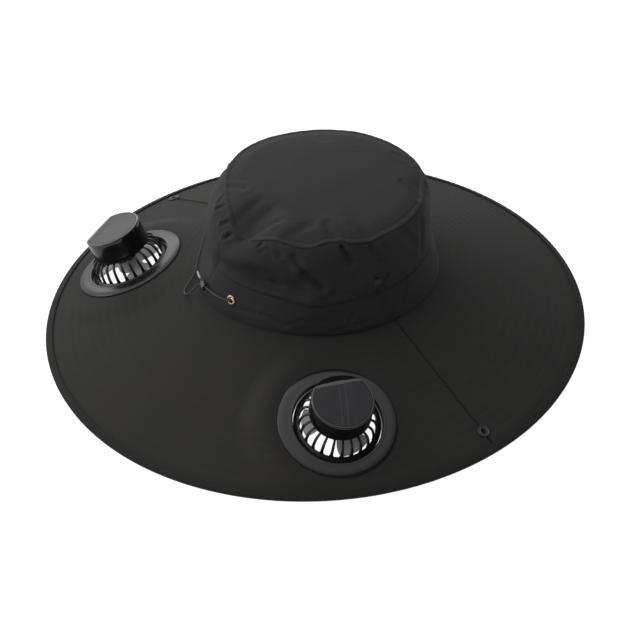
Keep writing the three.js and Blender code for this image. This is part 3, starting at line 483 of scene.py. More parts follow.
def tube(path, radius, sides=12):
    """A round section carried along a path: p + r (cos a n + sin a b), where n is straight up less its part
    along the path, and b is across both. The ends are closed to a point."""
    along = np.gradient(path, axis=0)
    along /= np.linalg.norm(along, axis=1, keepdims=True)
    n = UPWARDS - (along @ UPWARDS)[:, None] * along
    n /= np.linalg.norm(n, axis=1, keepdims=True)
    b = np.cross(along, n)
    a = np.linspace(0, 2 * np.pi, sides, endpoint=False)[None, :, None]
    ring = np.broadcast_to(radius, len(path))[:, None, None]
    grid = path[:, None] + ring * (np.cos(a) * n[:, None] + np.sin(a) * b[:, None])
    ends = [np.repeat(path[k:k + 1, None], sides, axis=1) for k in (0, len(path) - 1)]
    return outwards(shell(np.concatenate([ends[0], grid, ends[1]]), loop=True))


def path_length(path):
    """Sum of the steps along a path."""
    return float(np.linalg.norm(np.diff(path, axis=0), axis=1).sum())


PATHS = {}
for side, route in ROUTES.items():
    PATHS[side] = smooth_path(np.stack([beside_band(*row) for row in route]))
    print("strand", side, "is", round(path_length(PATHS[side]), 1), "mm long")

# %% [markdown]
# ## Materials
# The hat is nearly black, so its materials tell apart mostly by how they take the light: matt woven cloth with
# a soft sheen, satin and polished plastic, brass, and a dark cell under resin. Effects that several of them
# share are node groups. A weave is a product of two sines, one for each way the threads run.

# %% Building node trees
def add(tree, kind, sockets=None, **settings):
    """A shader node. Values for its sockets are numbers, or other sockets to link from."""
    made = tree.nodes.new("ShaderNode" + kind)
    for name, value in settings.items():
        setattr(made, name, value)
    for name, value in (sockets or {}).items():
        if isinstance(value, bpy.types.NodeSocket):
            tree.links.new(value, made.inputs[name])
        else:
            made.inputs[name].default_value = value
    return made


def maths(tree, operation, a, b=0.0, c=0.0):
    """The result of a Math node; MULTIPLY_ADD gives a b + c."""
    return add(tree, "Math", {0: a, 1: b, 2: c}, operation=operation).outputs[0]


def noise(tree, vector, scale, detail, rough=0.5):
    """Noise between 0 and 1 on a map in millimetres."""
    sockets = {"Vector": vector, "Scale": scale, "Detail": detail, "Roughness": rough}
    return add(tree, "TexNoise", sockets).outputs["Fac"]


def ranged(tree, value, low, high, bottom=0.0, top=1.0):
    """The stretch of a value from low to high, laid over bottom to top."""
    return add(tree, "MapRange", {0: value, 1: low, 2: high, 3: bottom, 4: top}).outputs[0]


def mixed(tree, share, a, b):
    """Colour a where the share is 0 and b where it is 1."""
    return add(tree, "MixRGB", {0: share, 1: a, 2: b}).outputs[0]


def bumped(tree, shader, height, strength, distance):
    """Links a height to the shader's normal."""
    made = add(tree, "Bump", {"Strength": strength, "Distance": distance, "Height": height})
    tree.links.new(made.outputs[0], shader["Normal"])


def new_group(name, inputs, outputs):
    """An empty node group with the named sockets, and its input and output nodes."""
    tree = bpy.data.node_groups.new(name, "ShaderNodeTree")
    kinds = dict(vector="NodeSocketVector", value="NodeSocketFloat", colour="NodeSocketColor")
    for label, kind in inputs.items():
        tree.interface.new_socket(label, in_out="INPUT", socket_type=kinds[kind])
    for label, kind in outputs.items():
        tree.interface.new_socket(label, in_out="OUTPUT", socket_type=kinds[kind])
    return tree, tree.nodes.new("NodeGroupInput").outputs, tree.nodes.new("NodeGroupOutput").inputs


def use_group(tree, group, **sockets):
    """The outputs of a group placed in a material."""
    return add(tree, "Group", sockets, node_tree=group).outputs


def new_material(name, **constants):
    """A material with its Principled shader, whose constant sockets are set on the shader itself."""
    made = bpy.data.materials.new(name)
    made.use_nodes = True
    shader = made.node_tree.nodes["Principled BSDF"]
    for label, value in constants.items():
        shader.inputs[label.replace("_", " ")].default_value = value
    return made, made.node_tree, shader.inputs


# %% Groups for cloth
def weave_group():
    """Height = 0.5 + 0.5 sin(pi x / thread) sin(pi y / thread): threads that pass over and under. Fibres are
    a fine noise drawn out along one way."""
    tree, given, out = new_group(
        "plain weave", dict(Vector="vector", Thread="value"), dict(Height="value", Fibres="value")
    )
    parts = add(tree, "SeparateXYZ", {0: given["Vector"]}).outputs
    turns = maths(tree, "DIVIDE", math.pi, given["Thread"])
    waves = [maths(tree, "SINE", maths(tree, "MULTIPLY", parts[k], turns)) for k in (0, 1)]
    product = maths(tree, "MULTIPLY", *waves)
    tree.links.new(maths(tree, "MULTIPLY_ADD", product, 0.5, 0.5), out["Height"])
    drawn = add(tree, "Mapping", {"Vector": given["Vector"], "Scale": (0.35, 2.6, 1.0)}).outputs[0]
    tree.links.new(noise(tree, drawn, 0.9, 4.0, 0.65), out["Fibres"])
    return tree


def cloth_tone_group():
    """The dyed colour, made lighter and darker by broad soft patches, by fibres, and by worn high spots."""
    tree, given, out = new_group(
        "cloth tone",
        dict(Vector="vector", Colour="colour", Worn="colour", Fibres="value", Patch="value"),
        dict(Color="colour", Soft="value"),
    )
    broad = noise(tree, given["Vector"], maths(tree, "DIVIDE", 1.0, given["Patch"]), 3.0)
    spread = ranged(tree, broad, 0.3, 0.7)
    fibre = maths(tree, "MULTIPLY", given["Fibres"], 0.5)
    share = maths(tree, "MULTIPLY", spread, maths(tree, "ADD", fibre, 0.55))
    tree.links.new(mixed(tree, share, given["Colour"], given["Worn"]), out["Color"])
    tree.links.new(spread, out["Soft"])
    return tree


BUMP, SKIN = 0.0001, 0.00002
WEAVE = weave_group()
CLOTH_TONE = cloth_tone_group()


def millimetres(tree, source):
    """The flat map of a piece, or its Object coordinates turned from metres to millimetres."""
    coordinates = add(tree, "TexCoord").outputs
    if source == "UV":
        return coordinates["UV"]
    return add(tree, "VectorMath", {0: coordinates["Object"], "Scale": 1 / MM}, operation="SCALE").outputs[0]


def cloth(name, colour, worn, source="UV", thread=0.42, patch=30.0, crumple=0.25, **constants):
    """Woven cloth: weave and fine crumples as bump, patches and fibres as colour."""
    settings = dict(Sheen_Weight=0.04, Sheen_Roughness=0.4, Specular_IOR_Level=0.25) | constants
    made, tree, shader = new_material(name, **settings)
    vector = millimetres(tree, source)
    woven = use_group(tree, WEAVE, Vector=vector, Thread=thread)
    tone = use_group(
        tree, CLOTH_TONE, Vector=vector, Colour=(*colour, 1), Worn=(*worn, 1), Patch=patch,
        Fibres=woven["Fibres"],
    )
    tree.links.new(tone["Color"], shader["Base Color"])
    tree.links.new(maths(tree, "MULTIPLY_ADD", tone["Soft"], 0.12, 0.72), shader["Roughness"])
    crumples = noise(tree, vector, 0.16, 5.0, 0.6)
    threads = maths(tree, "MULTIPLY", woven["Height"], 0.7)
    raised = maths(tree, "MULTIPLY_ADD", crumples, crumple / 0.1, threads)
    bumped(tree, shader, raised, 0.8, BUMP)
    return made


crown_cloth = cloth("crown cloth", (0.0215, 0.021, 0.021), (0.033, 0.0325, 0.0325), patch=45, crumple=0.5)
brim_cloth = cloth(
    "brim cloth", (0.0195, 0.0185, 0.0175), (0.029, 0.0275, 0.026), source="Object", patch=60, crumple=0.3
)
tape_cloth = cloth("edge tape", (0.013, 0.012, 0.011), (0.022, 0.021, 0.02), thread=0.6, patch=12)
thread_cloth = cloth("sewing thread", (0.010, 0.0095, 0.009), (0.02, 0.019, 0.018), thread=0.2, patch=6)


# %% Groups for plastic and metal
def moulded_group():
    """Moulded surface: Flow is a slow waviness of the skin, Grain a fine one, and Dust gathers in soft
    spots. All come from noise on Object coordinates."""
    tree, given, out = new_group(
        "moulded surface", dict(Vector="vector"), dict(Height="value", Dust="value", Flow="value")
    )
    flow = noise(tree, given["Vector"], 0.09, 2.0)
    grain = noise(tree, given["Vector"], 3.0, 3.0)
    specks = noise(tree, given["Vector"], 0.8, 6.0, 0.7)
    tree.links.new(maths(tree, "MULTIPLY_ADD", flow, 3.0, grain), out["Height"])
    tree.links.new(ranged(tree, specks, 0.55, 0.75), out["Dust"])
    tree.links.new(flow, out["Flow"])
    return tree


MOULDED = moulded_group()


def plastic(name, colour, dusty, rough, rougher, **constants):
    """Moulded plastic: dust lightens it and makes it rougher, and its skin waves a little."""
    made, tree, shader = new_material(name, **constants)
    surface = use_group(tree, MOULDED, Vector=millimetres(tree, "Object"))
    tone = mixed(tree, surface["Dust"], (*colour, 1), (*dusty, 1))
    tree.links.new(tone, shader["Base Color"])
    tree.links.new(ranged(tree, surface["Dust"], 0.0, 1.0, rough, rougher), shader["Roughness"])
    bumped(tree, shader, surface["Height"], 0.6, SKIN)
    return made


satin_plastic = plastic("satin black plastic", (0.009, 0.009, 0.0095), (0.017, 0.017, 0.017), 0.26, 0.36)
grille_plastic = plastic("grille plastic", (0.009, 0.009, 0.0095), (0.016, 0.016, 0.016), 0.32, 0.45)
gloss_plastic = plastic(
    "polished black plastic", (0.006, 0.006, 0.0065), (0.012, 0.012, 0.012), 0.1, 0.2, Coat_Weight=0.5,
    Coat_Roughness=0.05,
)
grey_plastic = plastic("grey plastic", (0.52, 0.52, 0.5), (0.62, 0.62, 0.6), 0.42, 0.6)
# The tip's pale colour is partly its own and partly a painted highlight along it.
pale_tip_and_highlight = plastic("cord tip pale with painted highlight", (0.5, 0.49, 0.46), (0.6, 0.59, 0.56), 0.35, 0.5)
brass = plastic("rolled brass", (0.56, 0.47, 0.32), (0.4, 0.32, 0.2), 0.28, 0.42, Metallic=1.0)
dark_metal = plastic("lacquered metal", (0.05, 0.05, 0.05), (0.075, 0.073, 0.07), 0.26, 0.4, Metallic=0.6)
cap_lacquer = plastic("cap lacquer", (0.014, 0.014, 0.014), (0.022, 0.022, 0.021), 0.5, 0.65, Metallic=0.2)


# %% Braid of the cord, and the solar cell
def braid():
    """Braided cord: height sin(a + b) sin(a - b) on the flat map, whose second way goes round the cord. The
    colour follows the height: painted shade in the grooves, painted light on the raised strands.
    """
    made, tree, shader = new_material("cord braid", Sheen_Weight=0.15, Specular_IOR_Level=0.35)
    vector = millimetres(tree, "UV")
    turned_map = add(tree, "Mapping", {"Vector": vector, "Rotation": (0, 0, math.pi / 4)}).outputs[0]
    woven = use_group(tree, WEAVE, Vector=turned_map, Thread=0.3)
    # Painted shade in the braid's grooves and painted light on its raised strands: the colour is mixed by the
    # weave's height.
    tone = mixed(tree, woven["Height"], (0.02, 0.0195, 0.019, 1), (0.072, 0.07, 0.068, 1))
    tree.links.new(tone, shader["Base Color"])
    shader["Roughness"].default_value = 0.6
    bumped(tree, shader, woven["Height"], 1.0, BUMP)
    return made


def solar(name, place, turn):
    """A dark cell: thin collector lines across it and a pair of bus bars, on Object coordinates centred
    on the cell and turned with it."""
    made, tree, shader = new_material(name, Coat_Weight=0.04, Specular_IOR_Level=0.25, Roughness=0.27)
    vector = millimetres(tree, "Object")
    seat = {"Vector": vector, "Location": place, "Rotation": turn}
    local = add(tree, "Mapping", seat, vector_type="TEXTURE")
    parts = add(tree, "SeparateXYZ", {0: local.outputs[0]}).outputs
    collectors = maths(tree, "LESS_THAN", maths(tree, "PINGPONG", parts[0], 0.8), 0.08)
    beside = maths(tree, "SUBTRACT", maths(tree, "ABSOLUTE", parts[1]), 2.2)
    bars = maths(tree, "LESS_THAN", maths(tree, "ABSOLUTE", beside), 0.3)
    lines = maths(tree, "MULTIPLY", collectors, 0.2)
    drawn = maths(tree, "MAXIMUM", lines, maths(tree, "MULTIPLY", bars, 0.6))
    surface = use_group(tree, MOULDED, Vector=vector)
    grown = mixed(tree, surface["Flow"], (0.008, 0.009, 0.013, 1), (0.022, 0.023, 0.027, 1))
    tone = mixed(tree, drawn, grown, (0.055, 0.056, 0.06, 1))
    tree.links.new(tone, shader["Base Color"])
    return made


cord_braid = braid()
print("materials:", len(bpy.data.materials), "groups:", len(bpy.data.node_groups))

# %% The two strands, the bead and the tip
TIP_LENGTH, TIP_RADIUS = 9.5, 0.85


def bead_seat():
    """The bead's bore runs along the band at its place."""
    point = beside_band(BEAD_ANGLE, BEAD_UP, BEAD_OUT)
    along = beside_band(BEAD_ANGLE + 1, BEAD_UP, BEAD_OUT) - beside_band(BEAD_ANGLE - 1, BEAD_UP, BEAD_OUT)
    along /= np.linalg.norm(along)
    out = np.cross(along, UPWARDS)
    out /= np.linalg.norm(out)
    return point, np.array([out, np.cross(along, out), along])


half, end = BEAD_LENGTH / 2, BEAD_LENGTH / 4
bead_profile = rounded(
    [
        (BEAD_BORE, -half), (BEAD_RADIUS * 0.82, -half), (BEAD_RADIUS, -end), (BEAD_RADIUS * 0.93, 0),
        (BEAD_RADIUS, end), (BEAD_RADIUS * 0.82, half), (BEAD_BORE, half),
    ],
    0.5,
)
bead_shell = placed(turned(bead_profile, 48), bead_seat())
bead = piece("cord_lock_bead", bead_shell, gloss_plastic, ["cord_bead"])
for side in ROUTES:
    strand = tube(PATHS[side], CORD_DIAMETER / 2)
    piece("strand_" + side, strand, cord_braid, ["drawcord_" + side])
steps = np.linalg.norm(np.diff(PATHS["right"], axis=0), axis=1)
from_end = np.concatenate([np.cumsum(steps[::-1])[::-1], [0]])
tip_path = PATHS["right"][from_end <= TIP_LENGTH]
ease = np.clip(np.linspace(0, 6, len(tip_path)), 0, 1) * np.clip(np.linspace(6, 0, len(tip_path)), 0.4, 1)
tip = piece("cord_tip", tube(tip_path, TIP_RADIUS * np.maximum(ease, 0.4), 14), pale_tip_and_highlight)
print("bead and tip made; tip is", round(path_length(tip_path), 1), "mm long")

# %% [markdown]
# ## The brim
# Two half rings of stiffened cloth meet in straight seams. Concentric rows of stitches quilt them, so the
# cloth stands a little between the rows and sinks at each row. The grid has a column every few millimetres
# and eight rows of points between two rows of stitches. The fans' holes are quads left out of the grid, and
# a Solidify modifier gives the sheet its two millimetres.

# %% Quilting
ROW_FIRST, ROW_STEP, ROW_COUNT = 0.05, 0.06, 16
ROW_POINTS = 8
PUFF, PUFF_EDGE = 0.19, 0.955
SEAM_CLEAR, SEAM_ROW = 2.3, 2.9
SEAM_STEPS = np.array([-0.1, 0.45, 0.9, 1.6, 2.4, 3.3])
HOLE_RADIUS = (COLLAR_RADIUS + CLAMP_RADIUS) / 2


def quilted(points, share):
    """Height added by quilting: PUFF |sin(pi f)|^0.7, where f counts rows of stitches, fading under the
    fans' flanges and at the edge. Near a straight seam the cloth rolls over its turned edge, and at the
    crown's foot it is drawn down into the seam."""
    f = (share - ROW_FIRST) / ROW_STEP
    rise = PUFF * np.abs(np.sin(np.pi * f)) ** 0.7 * (1 - smooth(share, PUFF_EDGE - 0.02, PUFF_EDGE))
    rise = rise * smooth(share, 0.0, 0.02) - 0.8 * bell(share - 0.012, 0.01)
    rise = rise + 0.25 * ripples(points[..., 0], points[..., 1], 60, 0) * smooth(share, 0.1, 0.4)
    for fan in FANS:
        rise = rise * smooth(from_fan(points, fan) - FAN_RADIUS, -1.5, 6)
    seam = np.abs(points[..., 1])
    return rise + (0.5 * bell(seam - 1.8, 1.1) - 1.6 * bell(seam, 0.8)) * smooth(share, 0.005, 0.03)


def brim_angles(shares, side, columns):
    """Angles [column, row] of a half: columns at even angles, and near both seams columns that keep a
    constant distance d from the seam, at the angle asin(d / r)."""
    nominal = mix(CROWN_RADIUS - CROWN_CLOTH, brim_radius(0.0), shares)
    near = np.degrees(np.arcsin(SEAM_STEPS[:, None] / nominal))
    middle = np.linspace(SEAM_CLEAR, 180 - SEAM_CLEAR, columns)[:, None] + 0 * nominal
    return side * np.concatenate([near, middle, 180 - near[::-1]])


def brim_half(side, columns, fans):
    """Points (r cos a, r sin a, height) over the half ring, with r from the crown's base to the edge."""
    step = ROW_STEP / ROW_POINTS
    shares = np.concatenate([[0, 0.012, 0.025], np.arange(0.0425, 0.962, step), [0.97, 0.98, 0.99, 1.0]])
    angle = brim_angles(shares, side, columns)
    radius = mix(CROWN_RADIUS - CROWN_CLOTH, brim_radius(angle), shares)
    points = polar(radius, angle, 0.0)
    points[..., 2] = brim_height(points[..., 0], points[..., 1])
    points[..., 2] += quilted(points, shares + 0 * angle)
    middle = (points[:-1, :-1] + points[1:, 1:]) / 2
    kept = np.ones(middle.shape[:2], bool)
    for fan in fans:
        kept &= from_fan(middle, fan) > HOLE_RADIUS
    uv = np.stack([np.radians(angle) * (CROWN_RADIUS + BRIM_SHORT / 2) / 2, radius], axis=-1)
    return shell(points, uv=uv, kept=kept)


def upwards(made):
    """A sheet with its quads turned so that they face up."""
    points, quads = made[:2]
    a, b, c = (points[quads[:, k]] for k in range(3))
    return turned_round(made) if np.cross(b - a, c - a)[:, 2].sum() < 0 else made


def thickened(made_piece, thickness):
    """A Solidify modifier that grows the sheet away from its upper face."""
    wall = made_piece.modifiers.new("cloth", "SOLIDIFY")
    wall.thickness = thickness * MM
    wall.offset = -1


for name, side, columns, fans, node in (
    ("front_brim_cloth", -1, 236, FANS, "brim_front"), ("back_brim_cloth", 1, 170, [], "brim_back"),
):
    half_brim = piece(name, upwards(brim_half(side, columns, fans)), brim_cloth, [node])
    thickened(half_brim, BRIM_CLOTH)
    print(name, "has", len(half_brim.data.polygons), "quads before its thickness")

# %% [markdown]
# ## Binding tape
# A woven tape is folded round the raw edge and sewn through. Its section is a U, carried round the oval. The
# upper wing puckers slightly between stitches, and the underside is pressed flat where it rests on the table.

# %% Tape
def edge_tape(columns=560):
    """The rounded U section at each angle: radial distance and height follow the brim's slope."""
    inner, outer = BRIM_CLOTH / 2 + GAP, BRIM_CLOTH / 2 + GAP + TAPE
    section = rounded(
        [
            (GAP - TAPE_WIDTH, inner), (GAP, inner), (GAP, -inner), (GAP - TAPE_WIDTH, -inner),
            (GAP - TAPE_WIDTH, -outer), (GAP + TAPE - TAPE_FLAT / SIN, -outer),
            (GAP + TAPE, TAPE_FLAT / COS - outer), (GAP + TAPE, outer), (GAP - TAPE_WIDTH, outer),
        ],
        [0.1, 0.4, 0.4, 0.1, 0.3, 0.2, 0.2, 1.3, 0.5], 3,
    )
    angle = np.linspace(0, 360, columns, endpoint=False)[:, None]
    along, lift = section.T
    top = (lift > inner + 0.2) * 1.0
    arc = np.radians(angle) * BRIM_SHORT / 2
    pucker = 0.14 * np.sin(2 * np.pi * arc / 5.6 + 2 * ripples(arc, 0 * arc, 40, 5)) * top
    radius = brim_radius(angle)
    wing = np.minimum(along, 0) * COS
    flat = polar(radius + wing, angle, 0.0)
    height = brim_height(flat[..., 0], flat[..., 1])
    drop = lift + pucker - BRIM_CLOTH / 2
    out = radius + wing + np.maximum(along, 0) * COS + drop * SIN
    grid = polar(out, angle, height - np.maximum(along, 0) * SIN + drop * COS)
    grid[..., 2] = np.maximum(grid[..., 2], 0.0)
    return outwards(shell(grid, around=True, loop=True))


tape = piece("binding_tape", edge_tape(), tape_cloth, ["brim_binding"])
print("tape's lowest point:", round(float(min(v.co.z for v in tape.data.vertices)) / MM, 3), "mm")

# %% [markdown]
# ## The crown
# Three cloths make the crown: a straight band, a wall that blouses over it, and a round lid. Each is a closed
# loop of points, outside up, over the edge and inside down, carried round the crown. The deep folds come from
# the table above. Creases are finer: a crease is a line on the cloth with a valley along it and a soft ridge
# beside it, from a table of end points read off the hat.

# %% Creases
WALL_MM = CROWN_RADIUS * math.pi / 180 * 0.93
# Each crease: both ends as angle and height share, depth and width in millimetres
CREASES = [
    ((-82, 0.9), (-86, 0.82), 1.8, 1.8), ((-76, 0.96), (-70, 0.86), 1.0, 1.6),
    ((-64, 0.98), (-60, 0.86), 1.1, 1.8), ((-120, 0.98), (-117, 0.92), 1.6, 1.3),
    ((-110, 0.965), (-113, 0.9), 1.8, 1.4), ((-98, 0.925), (-102, 0.85), 2.0, 1.5),
    ((-92.5, 0.84), (-95.5, 0.78), 2.2, 1.6), ((-71, 0.925), (-73, 0.88), 1.3, 1.1),
    ((-104, 0.95), (-103, 0.91), 0.8, 1.2), ((-53, 0.88), (-47, 0.72), 1.3, 2.2),
    ((-47, 0.72), (-38.5, 0.56), 2.2, 2.6), ((-40, 0.6), (-37, 0.55), 1.4, 2.6),
    ((-33, 1.0), (-28, 0.93), 1.4, 1.7), ((-28, 0.93), (-23.5, 0.78), 2.0, 1.9),
    ((-14.5, 0.99), (-12, 0.89), 1.0, 1.8), ((-12, 0.89), (-7, 0.74), 1.1, 2.0),
    ((-5.5, 0.9), (-4, 0.82), 0.9, 1.8), ((-12, 0.6), (-5, 0.385), 1.3, 1.3),
    ((-4, 0.57), (-11.5, 0.4), 1.2, 1.3), ((-98, 0.46), (-72, 0.6), 1.0, 4.0),
    ((-88, 0.44), (-60, 0.47), 0.9, 3.0), ((-62, 0.52), (-46, 0.46), 0.8, 2.6),
    ((-36, 0.5), (-22, 0.43), 0.6, 2.4), ((8, 0.93), (16, 0.72), 0.7, 2.6),
    ((24, 0.9), (20, 0.6), 0.6, 3.0), ((60, 0.95), (66, 0.7), 0.8, 2.4),
    ((100, 0.95), (92, 0.66), 0.9, 2.6), ((128, 0.9), (140, 0.6), 0.8, 3.0),
    ((165, 0.95), (172, 0.72), 0.9, 2.2), ((-150, 0.93), (-158, 0.66), 0.8, 2.6),
    ((-135, 0.7), (-146, 0.5), 0.7, 2.8),
]
BAND_CREASES = [
    ((-80, 0.12), (-65.5, 0.155), 0.5, 1.8), ((-65.5, 0.155), (-54, 0.1), 0.5, 1.8),
    ((-54, 0.085), (-47, 0.175), 0.35, 1.6), ((-47, 0.175), (-36, 0.155), 0.35, 1.8),
    ((-20, 0.3), (-24, 0.12), 0.6, 1.6), ((-6, 0.3), (-8, 0.1), 0.6, 1.8),
    ((8, 0.33), (4, 0.1), 0.5, 2.0), ((-31, 0.06), (-14, 0.1), 0.4, 1.8),
    ((60, 0.3), (70, 0.1), 0.5, 2.2), ((120, 0.3), (112, 0.08), 0.6, 2.0),
    ((-170, 0.28), (-160, 0.1), 0.5, 2.2),
]
BAND_LAP, FOOT_SINK = 1.4, 1.3
SIDE_SEAM = [(-91, 0.97), (-96.5, 0.745), (-98, 0.435), (-101.5, 0.245), (-104, 0.0)]
SEAM_INSETS = [(-126, 1.0, 26), (-36, 0.7, 7), (46, 0.5, 9)]
SEAM_INSET, ROLL, ROLL_REACH, EDGE_DROP, WALL_LAP, SAG = 5.0, 1.4, 6.0, 2.0, 1.3, 4.2


def seam_inset(angle):
    """How much the wall turns in over the lid's edge, as a share of SEAM_INSET."""
    return dips(SEAM_INSETS, angle)


def line_distance(angle, up, a, b):
    """Distance in millimetres, on the unrolled wall, to the line from a to b."""
    x, y = apart(angle, a[0]) * WALL_MM, (up - a[1]) * CROWN_HEIGHT
    dx, dy = apart(b[0], a[0]) * WALL_MM, (b[1] - a[1]) * CROWN_HEIGHT
    t = np.clip((x * dx + y * dy) / (dx**2 + dy**2), 0, 1)
    return np.hypot(x - t * dx, y - t * dy)


def creased(angle, up, table):
    """Sum over the creases of depth (-bell(d, w) + 0.55 bell(d - 2.1 w, 1.3 w)), d the distance to it."""
    total = 0 * angle * up
    for a, b, depth, w in table:
        d = line_distance(angle, up, a, b)
        total = total + depth * (0.55 * bell(d - 2.1 * w, 1.3 * w) - bell(d, w))
    return total


def side_seam(angle, up):
    """A thin valley along the seam, with the lapped cloth standing beside it."""
    total = 0 * angle * up
    for a, b in zip(SIDE_SEAM[:-1], SIDE_SEAM[1:]):
        total = np.minimum(total, -0.9 * bell(line_distance(angle, up, a, b), 0.8))
    return total


# %% Wall and band
COLUMNS, WALL_ROWS, BAND_ROWS = 400, 70, 38
FOOT, CLOTH_CRISP = 4.0, 60
CROWN_ANGLES = np.linspace(-180, 180, COLUMNS, endpoint=False)[:, None]


def wall_ring(low, high, rows, relief, inner_rows=10):
    """Closed loop at each angle: outside from low to high, round the edge, inside down to low, round the
    lower edge. relief gives the outer face's distance off the plain form."""
    t = np.linspace(0, 1, rows)[None]
    bottom, top = low(CROWN_ANGLES), high(CROWN_ANGLES)
    edge = 0.5 * CROWN_CLOTH / CROWN_HEIGHT
    outer_up = mix(bottom + edge, top - edge, t)
    inner_up = mix(top - edge, bottom + edge, np.linspace(0, 1, inner_rows)[None])
    out = relief(CROWN_ANGLES, outer_up)
    inner = relief(CROWN_ANGLES, inner_up) * 0.8 - CROWN_CLOTH
    turn = np.radians([30, 60, 90, 120, 150])[None]
    caps = []
    for up, sign, face in ((top - edge, 1, out[:, -1:]), (bottom + edge, -1, out[:, :1])):
        around = turn if sign > 0 else np.pi - turn
        caps.append((
            up + sign * edge * np.sin(around),
            face - CROWN_CLOTH / 2 + CROWN_CLOTH / 2 * np.cos(around),
        ))
    ups = np.concatenate([outer_up, caps[0][0], inner_up, caps[1][0]], axis=1)
    outs = np.concatenate([out, caps[0][1], inner, caps[1][1]], axis=1)
    return ups, outs


def sag(angle, up):
    """Between side seam and front the wall hangs over: out by SAG at two thirds of the height, and drawn
    in as much over the band's seam, at which it ends."""
    over = (up - band_seam(angle)) * CROWN_HEIGHT
    drawn = 1.1 * bell(up - 0.49, 0.08) * smooth(over, 1.5, 8)
    return SAG * bell(apart(angle, -74), 24) * (bell(up - 0.7, 0.12) - drawn)


def wall_relief(angle, up):
    """Blouse, sag, creases, side seam, a tuck at the band's seam and at the lid's, and soft unevenness."""
    over = (up - band_seam(angle)) * CROWN_HEIGHT
    under = (top_seam(angle) - up) * CROWN_HEIGHT
    tuck = -1.5 * bell(over, 2.0) - 0.8 * bell(under, 1.5)
    uneven = 0.5 * ripples(angle * WALL_MM, up * CROWN_HEIGHT, 38, 12) * smooth(over, 0, 8)
    gathers = 0.3 * ripples(angle * WALL_MM, 0 * up, 7, 20) * bell(under, 7)
    seam = side_seam(angle, up)
    fade = mix(0.15, 1, smooth(over, 0, 5) * smooth(under, 0, 5))
    rolled = -ROLL * (1 - smooth(under, 0, ROLL_REACH)) - SEAM_INSET * seam_inset(angle) * bell(under, 9)
    form = blouse(angle, up) + sag(angle, up) + creased(angle, up, CREASES) * fade
    return form + seam + tuck + uneven + gathers + rolled


def band_relief(angle, up):
    """Creases and a slight roll at both of the band's seams. Over the upper one it laps in behind the
    wall."""
    over, under = up * CROWN_HEIGHT, (band_seam(angle) - up) * CROWN_HEIGHT
    uneven = 0.3 * ripples(angle * WALL_MM, over, 26, 3) * smooth(over, 0, 5) * smooth(under, 0, 5)
    roll = -0.8 * bell(under, 1.3) - 0.7 * bell(over, 1.6) - 0.6 * smooth(-under, 0, 0.9)
    return creased(angle, up, BAND_CREASES) * 0.8 + uneven + roll + side_seam(angle, up) * 0.6


def ring_piece(ups, outs):
    """The loop's points, with a map of arc length and height."""
    grid = crown_point(CROWN_ANGLES, ups, outs)
    angles = np.concatenate([CROWN_ANGLES, [[180.0]]])
    ups = np.concatenate([ups, ups[:1]])
    ups = np.concatenate([ups, ups[:, :1]], axis=1)
    uv = np.stack(np.broadcast_arrays(angles * WALL_MM, ups * CROWN_HEIGHT), axis=-1)
    return grid, uv


wall_grid, wall_uv = ring_piece(*wall_ring(
    lambda angle: band_seam(angle) + GAP / CROWN_HEIGHT,
    lambda angle: top_seam(angle) - (EDGE_DROP - WALL_LAP) / CROWN_HEIGHT,
    WALL_ROWS, wall_relief,
))
wall_shell = outwards(shell(wall_grid, True, True, wall_uv))
piece("wall_cloth", wall_shell, crown_cloth, ["crown_side"], crisp=CLOTH_CRISP)
band_grid, band_uv = ring_piece(*wall_ring(
    lambda angle: 0 * angle, lambda angle: band_seam(angle) + BAND_LAP / CROWN_HEIGHT, BAND_ROWS,
    band_relief, 8,
))
sunk = brim_height(band_grid[..., 0], band_grid[..., 1]) - FOOT_SINK - BASE_Z
band_grid[..., 2] += sunk * (1 - smooth(band_grid[..., 2], BASE_Z, BASE_Z + FOOT))
EYELET_HOLE = EYELET_BORE + EYELET_METAL + GAP
kept = np.ones(band_grid.shape[:2], bool)
for angle in EYELET_ANGLES.values():
    centre = crown_point(np.array(angle), np.array(EYELET_HEIGHT / CROWN_HEIGHT))
    middle = (band_grid + np.roll(band_grid, (-1, -1), (0, 1))) / 2
    kept &= np.linalg.norm(middle - centre, axis=-1) > EYELET_HOLE
band_shell = outwards(shell(band_grid, True, True, band_uv, kept))
band = piece("band_cloth", band_shell, crown_cloth, ["crown_band"], crisp=CLOTH_CRISP)
print("wall quads", len(PIECES["wall_cloth"].data.polygons), "band quads", len(band.data.polygons))

# %% [markdown]
# The lid is a disc whose edge follows the seam up and down. It is a shallow dome with a few long soft
# creases, and the cloth is drawn tight just inside its seam. The grid is polar: rings from the middle to the
# edge, round the edge, and back below.

# %% Lid
LID_SHARE, LID_MM = 0.852, 82.0
STITCH_IN = 3.2
LID_CREASES = [
    ((-82, 0.97), (-71, 0.78), 0.8, 3.0), ((-96, 0.93), (-99, 0.7), 0.7, 3.4),
    ((-60, 0.96), (-48, 0.74), 0.6, 3.4), ((-33, 0.98), (-36, 0.78), 0.8, 3.0),
    ((-12, 0.97), (-20, 0.8), 0.5, 3.0), ((36, 0.96), (50, 0.78), 0.7, 2.0),
    ((74, 0.96), (86, 0.86), 0.7, 2.2), ((-125, 0.96), (-118, 0.8), 0.6, 2.6),
    ((150, 0.95), (140, 0.7), 0.5, 3.6),
]


def lid_point(angle, share, lift):
    """Middle to edge; the height follows the seam from half way out, under a dome CROWN_DOME (1 - s^2)."""
    edge = crown_point(angle, top_seam(angle), -ROLL - SEAM_INSET * seam_inset(angle))
    middle = np.array([CROWN_LEAN_X, CROWN_LEAN_Y, BASE_Z + CROWN_HEIGHT])
    point = mix(middle, edge, share[..., None])
    follow = smooth(share, 0.5, 1)
    dome = CROWN_DOME * (1 - share**2) + GAP
    point[..., 2] = mix(middle[2], edge[..., 2], follow) + dome + lift - EDGE_DROP * smooth(share, 0.82, 1)
    return point


